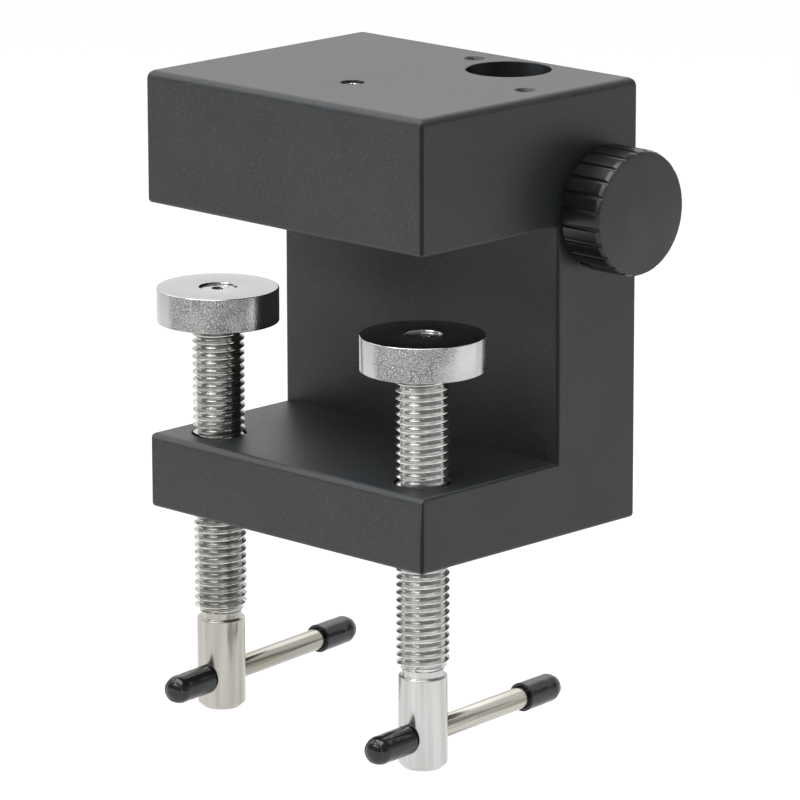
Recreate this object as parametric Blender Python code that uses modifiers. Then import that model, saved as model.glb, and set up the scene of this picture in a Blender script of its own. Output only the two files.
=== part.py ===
"""Table clamp of an articulating microscope arm.

A C-shaped block grips a table's edge between its upper jaw and two pads. Each pad turns freely on the
end of an M12 clamp screw, which is turned by a loose tommy bar. The arm's post stands in the bore behind
the jaw, and a fluted knob locks it there.

Metres, +Z up. The origin is the centre of the upper jaw's flat underside, the face that rests on the
table. The mouth opens towards -Y and the knob is on the +X side.
"""

import math

import bmesh
import bpy
from mathutils import Matrix, Vector

# Clearances
FIT_GAP = 0.0003
LOOSE_GAP = 0.0002

# Clamp body
BODY_WIDTH = 0.0850
JAW_DEPTH = 0.0430
JAW_THICKNESS = 0.0300
JAW_GAP = 0.0530
ARM_THICKNESS = 0.0170
TOP_EDGE_RADIUS = 0.0018
EDGE_RADIUS = 0.0009

# Post bore, in the middle of the spine behind the jaw
BORE_RADIUS = 0.0095
BORE_WALL = 0.00325
BORE_DEPTH = 0.0600
BORE_FROM_SIDE = 0.0270
MOUTH_CHAMFER = 0.0002
DRILL_POINT_ANGLE = math.radians(118)

# Two tapped fixing holes in the top
FIXING_RADIUS = 0.00165
FIXING_CHAMFER = 0.0008
FIXING_DEPTH = 0.0120
INNER_FIXING_FROM_SIDE = 0.0416
INNER_FIXING_FROM_BACK = 0.0083
OUTER_FIXING_FROM_SIDE = 0.0076
OUTER_FIXING_FROM_BACK = 0.0282

# Set screw in the top of the jaw
SET_SCREW_RADIUS = 0.00235
SET_SCREW_LENGTH = 0.0080
SET_SCREW_SINK = 0.0005
SET_SCREW_CHAMFER = 0.0004
SET_SCREW_FROM_SIDE = 0.0412
SET_SCREW_FROM_FRONT = 0.0209
SET_SCREW_SOCKET = 0.0025
SET_SCREW_SOCKET_DEPTH = 0.0028

# Clamp screws, from the spigot that carries the pad down to the head
SCREW_FROM_SIDE = 0.0107
SCREW_FROM_FRONT = 0.0113
THREAD_RADIUS = 0.00588
THREAD_PITCH = 0.00175
THREAD_DEPTH = 0.00104
THREAD_LENGTH = 0.0668
THREAD_TIP_STEP = 0.00016
SPIGOT_STEP = 0.00034
SPIGOT_CHAMFER = 0.0003
NECK_STEP = 0.00024
NECK_LENGTH = 0.0017
HEAD_RADIUS = 0.00545
HEAD_LENGTH = 0.0210
HEAD_TOP_CHAMFER = 0.0003
HEAD_FOOT_CHAMFER = 0.0012
CROSS_HOLE_HEIGHT = 0.0073
ARM_HOLE_CHAMFER = 0.0002

# Pads, and how far each pad's face stands below the jaw
PAD_RADIUS = 0.01375
PAD_THICKNESS = 0.0078
PAD_EDGE = 0.0003
PAD_WEB = 0.0009
PAD_OPENING_LEFT = 0.0194
PAD_OPENING_RIGHT = 0.0201

# Countersunk screws that hold the pads on
PAD_SCREW_RADIUS = 0.0020
PAD_SCREW_LENGTH = 0.0100
PAD_SCREW_SINK = 0.0004
PAD_SCREW_HEAD_STEP = 0.00175
PAD_SCREW_HEAD_EDGE = 0.0003
PAD_SCREW_SOCKET = 0.0025
PAD_SCREW_SOCKET_DEPTH = 0.0014

# Tommy bars, and the direction each one's long end points in
BAR_RADIUS = 0.0025
BAR_LENGTH = 0.0637
BAR_CHAMFER = 0.0004
BAR_TURN_LEFT = math.radians(97)
BAR_TURN_RIGHT = math.radians(95.5)

# Vinyl caps of the tommy bars
CAP_LENGTH = 0.0123
CAP_WALL = 0.00055
CAP_END_WALL = 0.0008
CAP_LIP = 0.0002
CAP_LIP_LENGTH = 0.0008
CAP_WAIST = 0.0002

# Locking knob, measured outwards from the block's right side
KNOB_HEIGHT = 0.0031
KNOB_HUB_GAP = 0.0009
KNOB_HUB_RADIUS = 0.0090
KNOB_HUB_LENGTH = 0.0006
KNOB_RIM_LENGTH = 0.0101
KNOB_RADIUS = 0.0140
KNOB_REAR_CHAMFER = 0.0006
KNOB_FACE_STEP = 0.0004
KNOB_FACE_BEVEL = 0.0014
KNOB_FACE_DOME = 0.0004
KNOB_FACE_WALL = 0.0029
FLUTES = 24
FLUTE_DEPTH = 0.00055
FLUTE_RADIUS = 0.00055

# Threaded stud of the knob, and the loose brass tip that presses on the post
STUD_RADIUS = 0.0039
STUD_CHAMFER = 0.0005
TIP_STEP = 0.0009
TIP_LENGTH = 0.0022
TIP_EDGE = 0.0003
TIP_PIN_RADIUS = 0.0014
TIP_PIN_LENGTH = 0.0030
TIP_SINK = 0.0002

# Roundness of the turned shapes
STEPS_LARGE = 40
STEPS = 32
STEPS_SMALL = 20
THREAD_STEPS = 16
BEVEL_SEGMENTS = 4
SHARP_ANGLE = math.radians(32)
MERGE = 1e-6
OVERCUT = 0.001

# Places that follow from the sizes
RIGHT_SIDE = BODY_WIDTH / 2
FRONT = -JAW_DEPTH / 2
SPINE_FACE = JAW_DEPTH / 2
BACK = SPINE_FACE + 2 * (BORE_WALL + BORE_RADIUS)
TOP = JAW_THICKNESS
ARM_TOP = -JAW_GAP
ARM_FOOT = ARM_TOP - ARM_THICKNESS
BORE_PLACE = Vector((RIGHT_SIDE - BORE_FROM_SIDE, (SPINE_FACE + BACK) / 2, TOP))
SET_SCREW_PLACE = Vector((RIGHT_SIDE - SET_SCREW_FROM_SIDE, FRONT + SET_SCREW_FROM_FRONT, TOP))
KNOB_PLACE = Vector((RIGHT_SIDE, BORE_PLACE.y, KNOB_HEIGHT))
FACING_RIGHT = (0.0, math.pi / 2, 0.0)
SCREW_REACH = RIGHT_SIDE - SCREW_FROM_SIDE
SCREW_Y = FRONT + SCREW_FROM_FRONT

# Each side's screw: its axis, where its pad's face stands and where its bar points
SIDES = {
    "left": (Vector((-SCREW_REACH, SCREW_Y, -PAD_OPENING_LEFT)), BAR_TURN_LEFT),
    "right": (Vector((SCREW_REACH, SCREW_Y, -PAD_OPENING_RIGHT)), BAR_TURN_RIGHT),
}

# Countersunk hole through a pad: it keeps the fit gap to the holding screw's head and shank
PAD_SCREW_HEAD_RADIUS = PAD_SCREW_RADIUS + PAD_SCREW_HEAD_STEP
PAD_MOUTH_RADIUS = PAD_SCREW_HEAD_RADIUS + FIT_GAP * math.sqrt(2)
PAD_HOLE_RADIUS = PAD_SCREW_RADIUS + FIT_GAP
PAD_CONE_TOP = -PAD_SCREW_SINK - PAD_SCREW_HEAD_EDGE
PAD_CONE_FOOT = PAD_CONE_TOP - (PAD_MOUTH_RADIUS - PAD_HOLE_RADIUS)
PAD_WEB_FOOT = PAD_CONE_FOOT - PAD_WEB

# Radii and heights along a clamp screw, from its pad's face
ROOT_RADIUS = THREAD_RADIUS - THREAD_DEPTH
THREAD_TIP_RADIUS = ROOT_RADIUS - THREAD_TIP_STEP
SPIGOT_RADIUS = ROOT_RADIUS - SPIGOT_STEP
NECK_RADIUS = ROOT_RADIUS - NECK_STEP
SPIGOT_TOP = PAD_WEB_FOOT - FIT_GAP
SHOULDER = -PAD_THICKNESS - FIT_GAP
THREAD_END = SHOULDER - THREAD_LENGTH
HEAD_TOP = THREAD_END - NECK_LENGTH
HEAD_FOOT = HEAD_TOP - HEAD_LENGTH
CROSS_HOLE = HEAD_FOOT + CROSS_HOLE_HEIGHT

# Radii and heights along the knob, outwards from the block's side
KNOB_FACE_RADIUS = KNOB_RADIUS - KNOB_FACE_STEP
TIP_RADIUS = STUD_RADIUS - TIP_STEP
KNOB_BACK = KNOB_HUB_GAP + KNOB_HUB_LENGTH
KNOB_RIM_FRONT = KNOB_BACK + KNOB_RIM_LENGTH
KNOB_FRONT = KNOB_RIM_FRONT + KNOB_FACE_BEVEL
STUD_TOP = KNOB_FRONT - KNOB_FACE_WALL
TIP_FACE = TIP_SINK - (BORE_FROM_SIDE - BORE_RADIUS)
STUD_END = TIP_FACE + TIP_LENGTH + LOOSE_GAP

# Caps on the bars: how far a bar's end reaches past a cap's rim
CAP_BORE_RADIUS = BAR_RADIUS + LOOSE_GAP
CAP_RADIUS = CAP_BORE_RADIUS + CAP_WALL
BAR_IN_CAP = CAP_LENGTH - CAP_END_WALL - LOOSE_GAP


def clear_scene():
    for obj in list(bpy.data.objects):
        bpy.data.objects.remove(obj, do_unlink=True)


def new_collection(name):
    collection = bpy.data.collections.new(name)
    bpy.context.scene.collection.children.link(collection)
    return collection


def new_material(name, colour, roughness, metallic):
    material = bpy.data.materials.new(name)
    material.use_nodes = True
    shader = material.node_tree.nodes["Principled BSDF"]
    shader.inputs["Base Color"].default_value = (*colour, 1.0)
    shader.inputs["Roughness"].default_value = roughness
    shader.inputs["Metallic"].default_value = metallic
    return material


clear_scene()
PARTS = new_collection("microscope_arm_table_clamp")
CUTTERS = new_collection("cutters")

COAT = new_material("black_powder_coat", (0.035, 0.036, 0.037), 0.55, 0.0)
NICKEL = new_material("nickel_plate", (0.72, 0.71, 0.69), 0.22, 1.0)
STEEL = new_material("satin_steel", (0.66, 0.66, 0.65), 0.34, 1.0)
VINYL = new_material("black_vinyl", (0.008, 0.008, 0.009), 0.12, 0.0)
PLASTIC = new_material("black_plastic", (0.022, 0.022, 0.023), 0.48, 0.0)
BRASS = new_material("brass", (0.72, 0.50, 0.20), 0.35, 1.0)


def add_object(name, data, collection, parent=None, location=(0.0, 0.0, 0.0), rotation=(0.0, 0.0, 0.0)):
    """A new object in a collection. With no data it is an empty, such as a joint's axis."""
    obj = bpy.data.objects.new(name, data)
    obj.location = location
    obj.rotation_euler = rotation
    obj.parent = parent
    collection.objects.link(obj)
    return obj


def settled_mesh(obj):
    """The object's mesh with its modifiers applied."""
    bpy.context.view_layer.update()
    graph = bpy.context.evaluated_depsgraph_get()
    return bpy.data.meshes.new_from_object(obj.evaluated_get(graph))


def skin(obj):
    """Take the object's settled mesh and remove the object."""
    mesh = settled_mesh(obj)
    bpy.data.objects.remove(obj, do_unlink=True)
    return mesh


def turned(name, profile, collection, steps=STEPS, closed=False, **place):
    """A turned solid. The profile's (radius, height) points run down its outer side, top to bottom, and
    a closed profile comes back up inside, round a hole through the middle."""
    mesh = bpy.data.meshes.new(name)
    work = bmesh.new()
    points = [work.verts.new((radius, 0.0, height)) for radius, height in profile]
    if closed:
        points.append(points[0])
    for upper, lower in zip(points, points[1:]):
        work.edges.new((upper, lower))
    work.to_mesh(mesh)
    work.free()
    obj = add_object(name, mesh, collection, **place)
    screw = obj.modifiers.new("turn", "SCREW")
    screw.axis = "Z"
    screw.angle = math.tau
    screw.steps = steps
    screw.render_steps = steps
    screw.use_merge_vertices = True
    screw.merge_threshold = MERGE
    return obj


def thread_sweep(name, foot, top):
    """One pitch of the thread's outline, crest to root to crest, swept up a right-hand helix. The sweep
    starts a pitch below the foot and ends a pitch or more above the top."""
    turns = math.ceil((top - foot) / THREAD_PITCH) + 1
    outline = [(THREAD_RADIUS, 0.0), (ROOT_RADIUS, THREAD_PITCH / 2), (THREAD_RADIUS, THREAD_PITCH)]
    mesh = bpy.data.meshes.new(name)
    work = bmesh.new()
    points = [work.verts.new((radius, 0.0, foot - THREAD_PITCH + rise)) for radius, rise in outline]
    for lower, upper in zip(points, points[1:]):
        work.edges.new((lower, upper))
    work.to_mesh(mesh)
    work.free()
    sweep = add_object(name, mesh, CUTTERS)
    screw = sweep.modifiers.new("helix", "SCREW")
    screw.axis = "Z"
    screw.angle = math.tau
    screw.screw_offset = THREAD_PITCH
    screw.iterations = turns
    screw.steps = THREAD_STEPS
    screw.render_steps = THREAD_STEPS
    screw.use_merge_vertices = True
    screw.merge_threshold = MERGE
    return skin(sweep)


def trim_thread(mesh, foot, top):
    """Press the spare turns into a flat ring at the foot and one at the top, and the crests beside each
    ring under a lead-in cone of 45 degrees."""
    for vert in mesh.vertices:
        height = min(max(vert.co.z, foot), top)
        cone = THREAD_TIP_RADIUS + min(height - foot, top - height)
        radius = math.hypot(vert.co.x, vert.co.y)
        narrowing = min(1.0, cone / radius)
        vert.co = (vert.co.x * narrowing, vert.co.y * narrowing, height)


def welded(name, skins, **place):
    """One solid from open skins that meet in rings of the same points."""
    work = bmesh.new()
    for mesh in skins:
        work.from_mesh(mesh)
    bmesh.ops.remove_doubles(work, verts=work.verts, dist=MERGE)
    bmesh.ops.recalc_face_normals(work, faces=work.faces)
    bmesh.ops.triangulate(work, faces=work.faces)
    mesh = bpy.data.meshes.new(name)
    work.to_mesh(mesh)
    work.free()
    return add_object(name, mesh, PARTS, **place)


def prism(name, outline, length, collection, **place):
    """A flat outline of (x, y) points, drawn as a curve and extruded by length about its own plane."""
    curve = bpy.data.curves.new(name, "CURVE")
    curve.dimensions = "2D"
    curve.fill_mode = "BOTH"
    curve.extrude = length / 2
    spline = curve.splines.new("POLY")
    spline.points.add(len(outline) - 1)
    for point, (x, y) in zip(spline.points, outline):
        point.co = (x, y, 0.0, 1.0)
    spline.use_cyclic_u = True
    mesh = skin(add_object(name + "_outline", curve, collection))
    work = bmesh.new()
    work.from_mesh(mesh)
    bmesh.ops.remove_doubles(work, verts=work.verts, dist=MERGE)
    bmesh.ops.dissolve_limit(work, angle_limit=math.radians(0.1), verts=work.verts, edges=work.edges)
    work.to_mesh(mesh)
    work.free()
    return add_object(name, mesh, collection, **place)


def arc(centre, radius, start, end, steps):
    """Points on a circle from the start angle to the end angle, both included."""
    angles = [start + (end - start) * k / steps for k in range(steps + 1)]
    return [(centre[0] + radius * math.cos(a), centre[1] + radius * math.sin(a)) for a in angles]


def hexagon(across_flats):
    return arc((0.0, 0.0), across_flats / 2 / math.cos(math.pi / 6), 0.0, math.tau, 6)[:-1]


def drilled_hole(name, radius, depth, chamfer, steps=STEPS_SMALL, **place):
    """A cutter for a blind hole: its mouth at height 0 is chamfered and its foot has a drill's point."""
    point = radius / math.tan(DRILL_POINT_ANGLE / 2)
    profile = [
        (0.0, OVERCUT), (radius + chamfer + OVERCUT, OVERCUT), (radius, -chamfer),
        (radius, -depth), (0.0, -depth - point),
    ]
    return turned(name, profile, CUTTERS, steps, **place)


def through_hole(name, radius, depth, chamfer, **place):
    """A cutter for a hole from height 0 down through a wall, chamfered at both mouths."""
    flare = radius + chamfer + OVERCUT
    profile = [
        (0.0, OVERCUT), (flare, OVERCUT), (radius, -chamfer),
        (radius, chamfer - depth), (flare, -depth - OVERCUT), (0.0, -depth - OVERCUT),
    ]
    return turned(name, profile, CUTTERS, **place)


def rod(name, radius, top, foot, steps=STEPS_SMALL, **place):
    """A cutter with square ends."""
    return turned(name, [(0.0, top), (radius, top), (radius, foot), (0.0, foot)], CUTTERS, steps, **place)


def combine(obj, tools, operation):
    for tool in tools:
        step = obj.modifiers.new(tool.name, "BOOLEAN")
        step.operation = operation
        step.solver = "EXACT"
        step.object = tool
        tool.hide_render = True
        tool.display_type = "WIRE"


def cut(obj, tools):
    combine(obj, tools, "DIFFERENCE")


def finish(obj, material):
    """Apply the modifiers, shade round faces smooth, keep real edges sharp and give the finish."""
    mesh = settled_mesh(obj)
    obj.modifiers.clear()
    obj.data = mesh
    mesh.shade_smooth()
    mesh.set_sharp_from_angle(angle=SHARP_ANGLE)
    mesh.materials.clear()
    mesh.materials.append(material)


# Clamp body

def body_edge_weight(edge):
    """How far an edge is rounded: the top's edges most, the two corners deep in the mouth not at all."""
    a, b = (vert.co for vert in edge.verts)
    runs_across = abs(a.x - b.x) > MERGE
    if runs_across and abs(a.y - SPINE_FACE) < MERGE:
        return 0.0
    if abs(a.z - TOP) < MERGE and abs(b.z - TOP) < MERGE:
        return 1.0
    return EDGE_RADIUS / TOP_EDGE_RADIUS


def body_blank():
    """The C is drawn from its right side as (y, z) points, extruded across and rounded at its edges."""
    outline = [
        (FRONT, ARM_FOOT), (BACK, ARM_FOOT), (BACK, TOP), (FRONT, TOP),
        (FRONT, 0.0), (SPINE_FACE, 0.0), (SPINE_FACE, ARM_TOP), (FRONT, ARM_TOP),
    ]
    body = prism("clamp_body", outline, BODY_WIDTH, PARTS)
    plane_to_side = Matrix(((0, 0, 1, 0), (1, 0, 0, 0), (0, 1, 0, 0), (0, 0, 0, 1)))
    work = bmesh.new()
    work.from_mesh(body.data)
    work.transform(plane_to_side)
    weight = work.edges.layers.float.new("bevel_weight_edge")
    for edge in work.edges:
        edge[weight] = body_edge_weight(edge)
    work.to_mesh(body.data)
    work.free()
    bevel = body.modifiers.new("rounded_edges", "BEVEL")
    bevel.limit_method = "WEIGHT"
    bevel.width = TOP_EDGE_RADIUS
    bevel.segments = BEVEL_SEGMENTS
    return body


def fixing_hole(name, from_side, from_back):
    place = (RIGHT_SIDE - from_side, BACK - from_back, TOP)
    return drilled_hole(name, FIXING_RADIUS, FIXING_DEPTH, FIXING_CHAMFER, location=place)


def knob_hole():
    """The tapped hole for the knob's stud, from the block's side into the post bore."""
    radius = STUD_RADIUS + FIT_GAP
    profile = [
        (0.0, OVERCUT), (radius + STUD_CHAMFER + OVERCUT, OVERCUT), (radius, -STUD_CHAMFER),
        (radius, -BORE_FROM_SIDE), (0.0, -BORE_FROM_SIDE),
    ]
    return turned("knob_hole", profile, CUTTERS, STEPS_SMALL, location=KNOB_PLACE, rotation=FACING_RIGHT)


def make_body():
    set_screw_room = SET_SCREW_SINK + SET_SCREW_LENGTH + FIT_GAP
    holes = [
        drilled_hole("post_bore", BORE_RADIUS, BORE_DEPTH, MOUTH_CHAMFER, STEPS, location=BORE_PLACE),
        fixing_hole("inner_fixing_hole", INNER_FIXING_FROM_SIDE, INNER_FIXING_FROM_BACK),
        fixing_hole("outer_fixing_hole", OUTER_FIXING_FROM_SIDE, OUTER_FIXING_FROM_BACK),
        drilled_hole("set_screw_hole", SET_SCREW_RADIUS + LOOSE_GAP, set_screw_room, MOUTH_CHAMFER,
                     location=SET_SCREW_PLACE),
        knob_hole(),
    ]
    for side, (place, _) in SIDES.items():
        holes.append(through_hole("screw_hole_" + side, THREAD_RADIUS + FIT_GAP, ARM_THICKNESS,
                                  ARM_HOLE_CHAMFER, location=(place.x, place.y, ARM_TOP)))
    body = body_blank()
    cut(body, holes)
    finish(body, COAT)


def make_set_screw():
    place = SET_SCREW_PLACE - Vector((0.0, 0.0, SET_SCREW_SINK))
    tapered = SET_SCREW_RADIUS - SET_SCREW_CHAMFER
    profile = [
        (0.0, 0.0), (tapered, 0.0), (SET_SCREW_RADIUS, -SET_SCREW_CHAMFER),
        (SET_SCREW_RADIUS, SET_SCREW_CHAMFER - SET_SCREW_LENGTH), (tapered, -SET_SCREW_LENGTH),
        (0.0, -SET_SCREW_LENGTH),
    ]
    screw = turned("jaw_set_screw", profile, PARTS, STEPS_SMALL, location=place)
    cut(screw, [prism("set_screw_socket", hexagon(SET_SCREW_SOCKET), 2 * SET_SCREW_SOCKET_DEPTH, CUTTERS,
                      location=place)])
    finish(screw, STEEL)


# Clamp screws and pads, each hung on an empty that lies on the screw's axis in the pad's face

def make_clamp_screw(side, axis, bar_turn):
    """The thread is welded to the spigot above it, which the pad turns on, and to the undercut neck and
    the head below it, which the tommy bar passes through."""
    thread = thread_sweep("thread_" + side, THREAD_END, SHOULDER)
    trim_thread(thread, THREAD_END, SHOULDER)
    spigot = [
        (0.0, SPIGOT_TOP), (SPIGOT_RADIUS - SPIGOT_CHAMFER, SPIGOT_TOP),
        (SPIGOT_RADIUS, SPIGOT_TOP - SPIGOT_CHAMFER), (SPIGOT_RADIUS, SHOULDER), (THREAD_TIP_RADIUS, SHOULDER),
    ]
    neck_and_head = [
        (THREAD_TIP_RADIUS, THREAD_END), (NECK_RADIUS, THREAD_END), (NECK_RADIUS, HEAD_TOP),
        (HEAD_RADIUS - HEAD_TOP_CHAMFER, HEAD_TOP), (HEAD_RADIUS, HEAD_TOP - HEAD_TOP_CHAMFER),
        (HEAD_RADIUS, HEAD_FOOT + HEAD_FOOT_CHAMFER), (HEAD_RADIUS - HEAD_FOOT_CHAMFER, HEAD_FOOT),
        (0.0, HEAD_FOOT),
    ]
    ends = [skin(turned("end_" + side, profile, CUTTERS, THREAD_STEPS)) for profile in (spigot, neck_and_head)]
    screw = welded("clamp_screw_" + side, [thread] + ends, parent=axis)
    tapped_depth = SPIGOT_TOP + PAD_SCREW_SINK + PAD_SCREW_LENGTH + FIT_GAP
    tapped = drilled_hole("tapped_end_" + side, PAD_HOLE_RADIUS, tapped_depth, 0.0,
                          parent=axis, location=(0.0, 0.0, SPIGOT_TOP))
    reach = HEAD_RADIUS + OVERCUT
    cross = rod("cross_hole_" + side, BAR_RADIUS + FIT_GAP, reach, -reach, parent=axis,
                location=(0.0, 0.0, CROSS_HOLE), rotation=along_bar(bar_turn))
    cut(screw, [tapped, cross])
    finish(screw, STEEL)


def make_pad(side, axis):
    """A disc with a countersunk hole from above and a bore for the screw's spigot from below."""
    bore = SPIGOT_RADIUS + FIT_GAP
    profile = [
        (PAD_MOUTH_RADIUS, 0.0), (PAD_RADIUS - PAD_EDGE, 0.0), (PAD_RADIUS, -PAD_EDGE),
        (PAD_RADIUS, PAD_EDGE - PAD_THICKNESS), (PAD_RADIUS - PAD_EDGE, -PAD_THICKNESS),
        (bore, -PAD_THICKNESS), (bore, PAD_WEB_FOOT), (PAD_HOLE_RADIUS, PAD_WEB_FOOT),
        (PAD_HOLE_RADIUS, PAD_CONE_FOOT), (PAD_MOUTH_RADIUS, PAD_CONE_TOP),
    ]
    finish(turned("pad_" + side, profile, PARTS, STEPS_LARGE, closed=True, parent=axis), NICKEL)


def make_pad_screw(side, axis):
    place = (0.0, 0.0, -PAD_SCREW_SINK)
    cone_foot = -PAD_SCREW_HEAD_EDGE - PAD_SCREW_HEAD_STEP
    profile = [
        (0.0, 0.0), (PAD_SCREW_HEAD_RADIUS, 0.0), (PAD_SCREW_HEAD_RADIUS, -PAD_SCREW_HEAD_EDGE),
        (PAD_SCREW_RADIUS, cone_foot), (PAD_SCREW_RADIUS, PAD_SCREW_HEAD_EDGE - PAD_SCREW_LENGTH),
        (PAD_SCREW_RADIUS - PAD_SCREW_HEAD_EDGE, -PAD_SCREW_LENGTH), (0.0, -PAD_SCREW_LENGTH),
    ]
    screw = turned("pad_screw_" + side, profile, PARTS, STEPS_SMALL, parent=axis, location=place)
    cut(screw, [prism("pad_screw_socket_" + side, hexagon(PAD_SCREW_SOCKET), 2 * PAD_SCREW_SOCKET_DEPTH,
                      CUTTERS, parent=axis, location=place)])
    finish(screw, STEEL)


# Tommy bars, each hung on an empty in the middle of its cross hole with +Z along the long end

def along_bar(turn):
    return (-math.pi / 2, 0.0, turn - math.pi / 2)


def make_bar(side, centre, foot):
    profile = [
        (0.0, BAR_LENGTH), (BAR_RADIUS - BAR_CHAMFER, BAR_LENGTH), (BAR_RADIUS, BAR_LENGTH - BAR_CHAMFER),
        (BAR_RADIUS, BAR_CHAMFER), (BAR_RADIUS - BAR_CHAMFER, 0.0), (0.0, 0.0),
    ]
    bar = turned("tommy_bar_" + side, profile, PARTS, STEPS_SMALL, parent=centre, location=(0.0, 0.0, foot))
    finish(bar, NICKEL)


def make_cap(name, centre, rim, turn):
    """A dipped cap, round end up: a lip at its rim, and a slight waist where the dome begins."""
    dome_foot = CAP_LENGTH - CAP_RADIUS
    waist_height = dome_foot - CAP_RADIUS / 3
    roof = CAP_LENGTH - CAP_END_WALL
    dome = [(0.0, CAP_LENGTH)] + arc((0.0, dome_foot), CAP_RADIUS, math.radians(75), 0.0, 5)
    side = [
        (CAP_RADIUS - CAP_WAIST, waist_height), (CAP_RADIUS, waist_height - CAP_RADIUS / 2),
        (CAP_RADIUS, 2 * CAP_LIP_LENGTH), (CAP_RADIUS + CAP_LIP, CAP_LIP_LENGTH),
        (CAP_RADIUS + CAP_LIP, CAP_LIP), (CAP_RADIUS, 0.0),
    ]
    inside = [(CAP_BORE_RADIUS, 0.0), (CAP_BORE_RADIUS, roof), (0.0, roof)]
    cap = turned(name, dome + side + inside, PARTS, STEPS_SMALL, parent=centre, location=(0.0, 0.0, rim),
                 rotation=(turn, 0.0, 0.0))
    finish(cap, VINYL)


def make_bar_with_caps(side, axis, bar_turn):
    """The bar rests at the end of its slide, where the front cap's rim meets the screw's head."""
    centre = add_object("bar_axis_" + side, None, PARTS, axis, (0.0, 0.0, CROSS_HOLE), along_bar(bar_turn))
    front_rim = -HEAD_RADIUS - FIT_GAP
    foot = front_rim - BAR_IN_CAP
    rear_rim = foot + BAR_LENGTH - BAR_IN_CAP
    make_bar(side, centre, foot)
    make_cap(f"bar_cap_{side}_front", centre, front_rim, math.pi)
    make_cap(f"bar_cap_{side}_rear", centre, rear_rim, 0.0)


# Locking knob, hung on an empty in the block's side with +Z outwards

def fluted_outline():
    """The knob's round outline: a land, then a round-bottomed groove, for each flute."""
    pitch = math.tau / FLUTES
    reach = KNOB_RADIUS - FLUTE_DEPTH + FLUTE_RADIUS
    half_mouth = math.acos((reach ** 2 + KNOB_RADIUS ** 2 - FLUTE_RADIUS ** 2) / (2 * reach * KNOB_RADIUS))
    lip = math.atan2(KNOB_RADIUS * math.sin(half_mouth), KNOB_RADIUS * math.cos(half_mouth) - reach)
    half_land = pitch / 2 - half_mouth
    outline = []
    for k in range(FLUTES):
        land = k * pitch
        groove = land + pitch / 2
        middle = (reach * math.cos(groove), reach * math.sin(groove))
        outline += arc((0.0, 0.0), KNOB_RADIUS, land - half_land, land + half_land, 2)
        outline += arc(middle, FLUTE_RADIUS, groove - lip, groove + lip - math.tau, 4)[1:-1]
    return outline


def make_knob(axis):
    """A fluted bar, cut to a turned form that bevels both its ends, domes its face and leaves a hub."""
    length = KNOB_FRONT - KNOB_HUB_GAP
    knob = prism("locking_knob", fluted_outline(), length, PARTS, parent=axis,
                 location=(0.0, 0.0, KNOB_HUB_GAP + length / 2))
    face = [KNOB_FACE_RADIUS * k / 4 for k in range(5)]
    dome = [(r, KNOB_FRONT - KNOB_FACE_DOME * (r / KNOB_FACE_RADIUS) ** 2) for r in face]
    outside = KNOB_RADIUS + OVERCUT
    form = dome + [
        (KNOB_RADIUS, KNOB_RIM_FRONT), (outside, KNOB_RIM_FRONT), (outside, KNOB_BACK + KNOB_REAR_CHAMFER),
        (KNOB_RADIUS, KNOB_BACK + KNOB_REAR_CHAMFER), (KNOB_RADIUS - KNOB_REAR_CHAMFER, KNOB_BACK),
        (KNOB_HUB_RADIUS, KNOB_BACK), (KNOB_HUB_RADIUS, KNOB_HUB_GAP), (0.0, KNOB_HUB_GAP),
    ]
    combine(knob, [turned("knob_form", form, CUTTERS, STEPS_LARGE, parent=axis)], "INTERSECT")
    cut(knob, [rod("stud_seat", STUD_RADIUS + LOOSE_GAP, STUD_TOP + LOOSE_GAP, KNOB_HUB_GAP - OVERCUT,
                   parent=axis)])
    finish(knob, PLASTIC)


def make_stud(axis):
    tapered = STUD_RADIUS - STUD_CHAMFER
    profile = [
        (0.0, STUD_TOP), (tapered, STUD_TOP), (STUD_RADIUS, STUD_TOP - STUD_CHAMFER),
        (STUD_RADIUS, STUD_END + STUD_CHAMFER), (tapered, STUD_END), (0.0, STUD_END),
    ]
    stud = turned("knob_stud", profile, PARTS, STEPS_SMALL, parent=axis)
    pin_room = STUD_END + TIP_PIN_LENGTH
    cut(stud, [rod("tip_socket", TIP_PIN_RADIUS + LOOSE_GAP, pin_room, STUD_END - OVERCUT, parent=axis)])
    finish(stud, STEEL)


def make_tip(axis):
    """The tip's disc faces the post, and its pin sits loose in the stud's end."""
    back = TIP_FACE + TIP_LENGTH
    profile = [
        (0.0, back + TIP_PIN_LENGTH), (TIP_PIN_RADIUS, back + TIP_PIN_LENGTH), (TIP_PIN_RADIUS, back),
        (TIP_RADIUS, back), (TIP_RADIUS, TIP_FACE + TIP_EDGE), (TIP_RADIUS - TIP_EDGE, TIP_FACE),
        (0.0, TIP_FACE),
    ]
    finish(turned("lock_tip", profile, PARTS, STEPS_SMALL, parent=axis), BRASS)


# The whole clamp

make_body()
make_set_screw()
for side, (place, bar_turn) in SIDES.items():
    screw_axis = add_object("screw_axis_" + side, None, PARTS, location=place)
    make_clamp_screw(side, screw_axis, bar_turn)
    make_pad(side, screw_axis)
    make_pad_screw(side, screw_axis)
    make_bar_with_caps(side, screw_axis, bar_turn)
knob_axis = add_object("knob_axis", None, PARTS, location=KNOB_PLACE, rotation=FACING_RIGHT)
make_knob(knob_axis)
make_stud(knob_axis)
make_tip(knob_axis)
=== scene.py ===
# %% [markdown]
# # Table clamp of an articulating microscope arm
#
# This clamp grips the edge of a table and holds the post of a microscope arm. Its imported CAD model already
# has every piece at its real size, with flat-sided solids and plain colours. This lesson dresses that
# model: it cuts the screw threads, rounds the turned edges, and gives the powder coat, the nickel, the
# steel, the vinyl and the moulded plastic their finish. Nothing is moved or resized, so every new piece
# takes its place from the frame.

# %% Load the frame
import math

import bmesh
import bpy
from mathutils import Euler, Matrix, Vector


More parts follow.
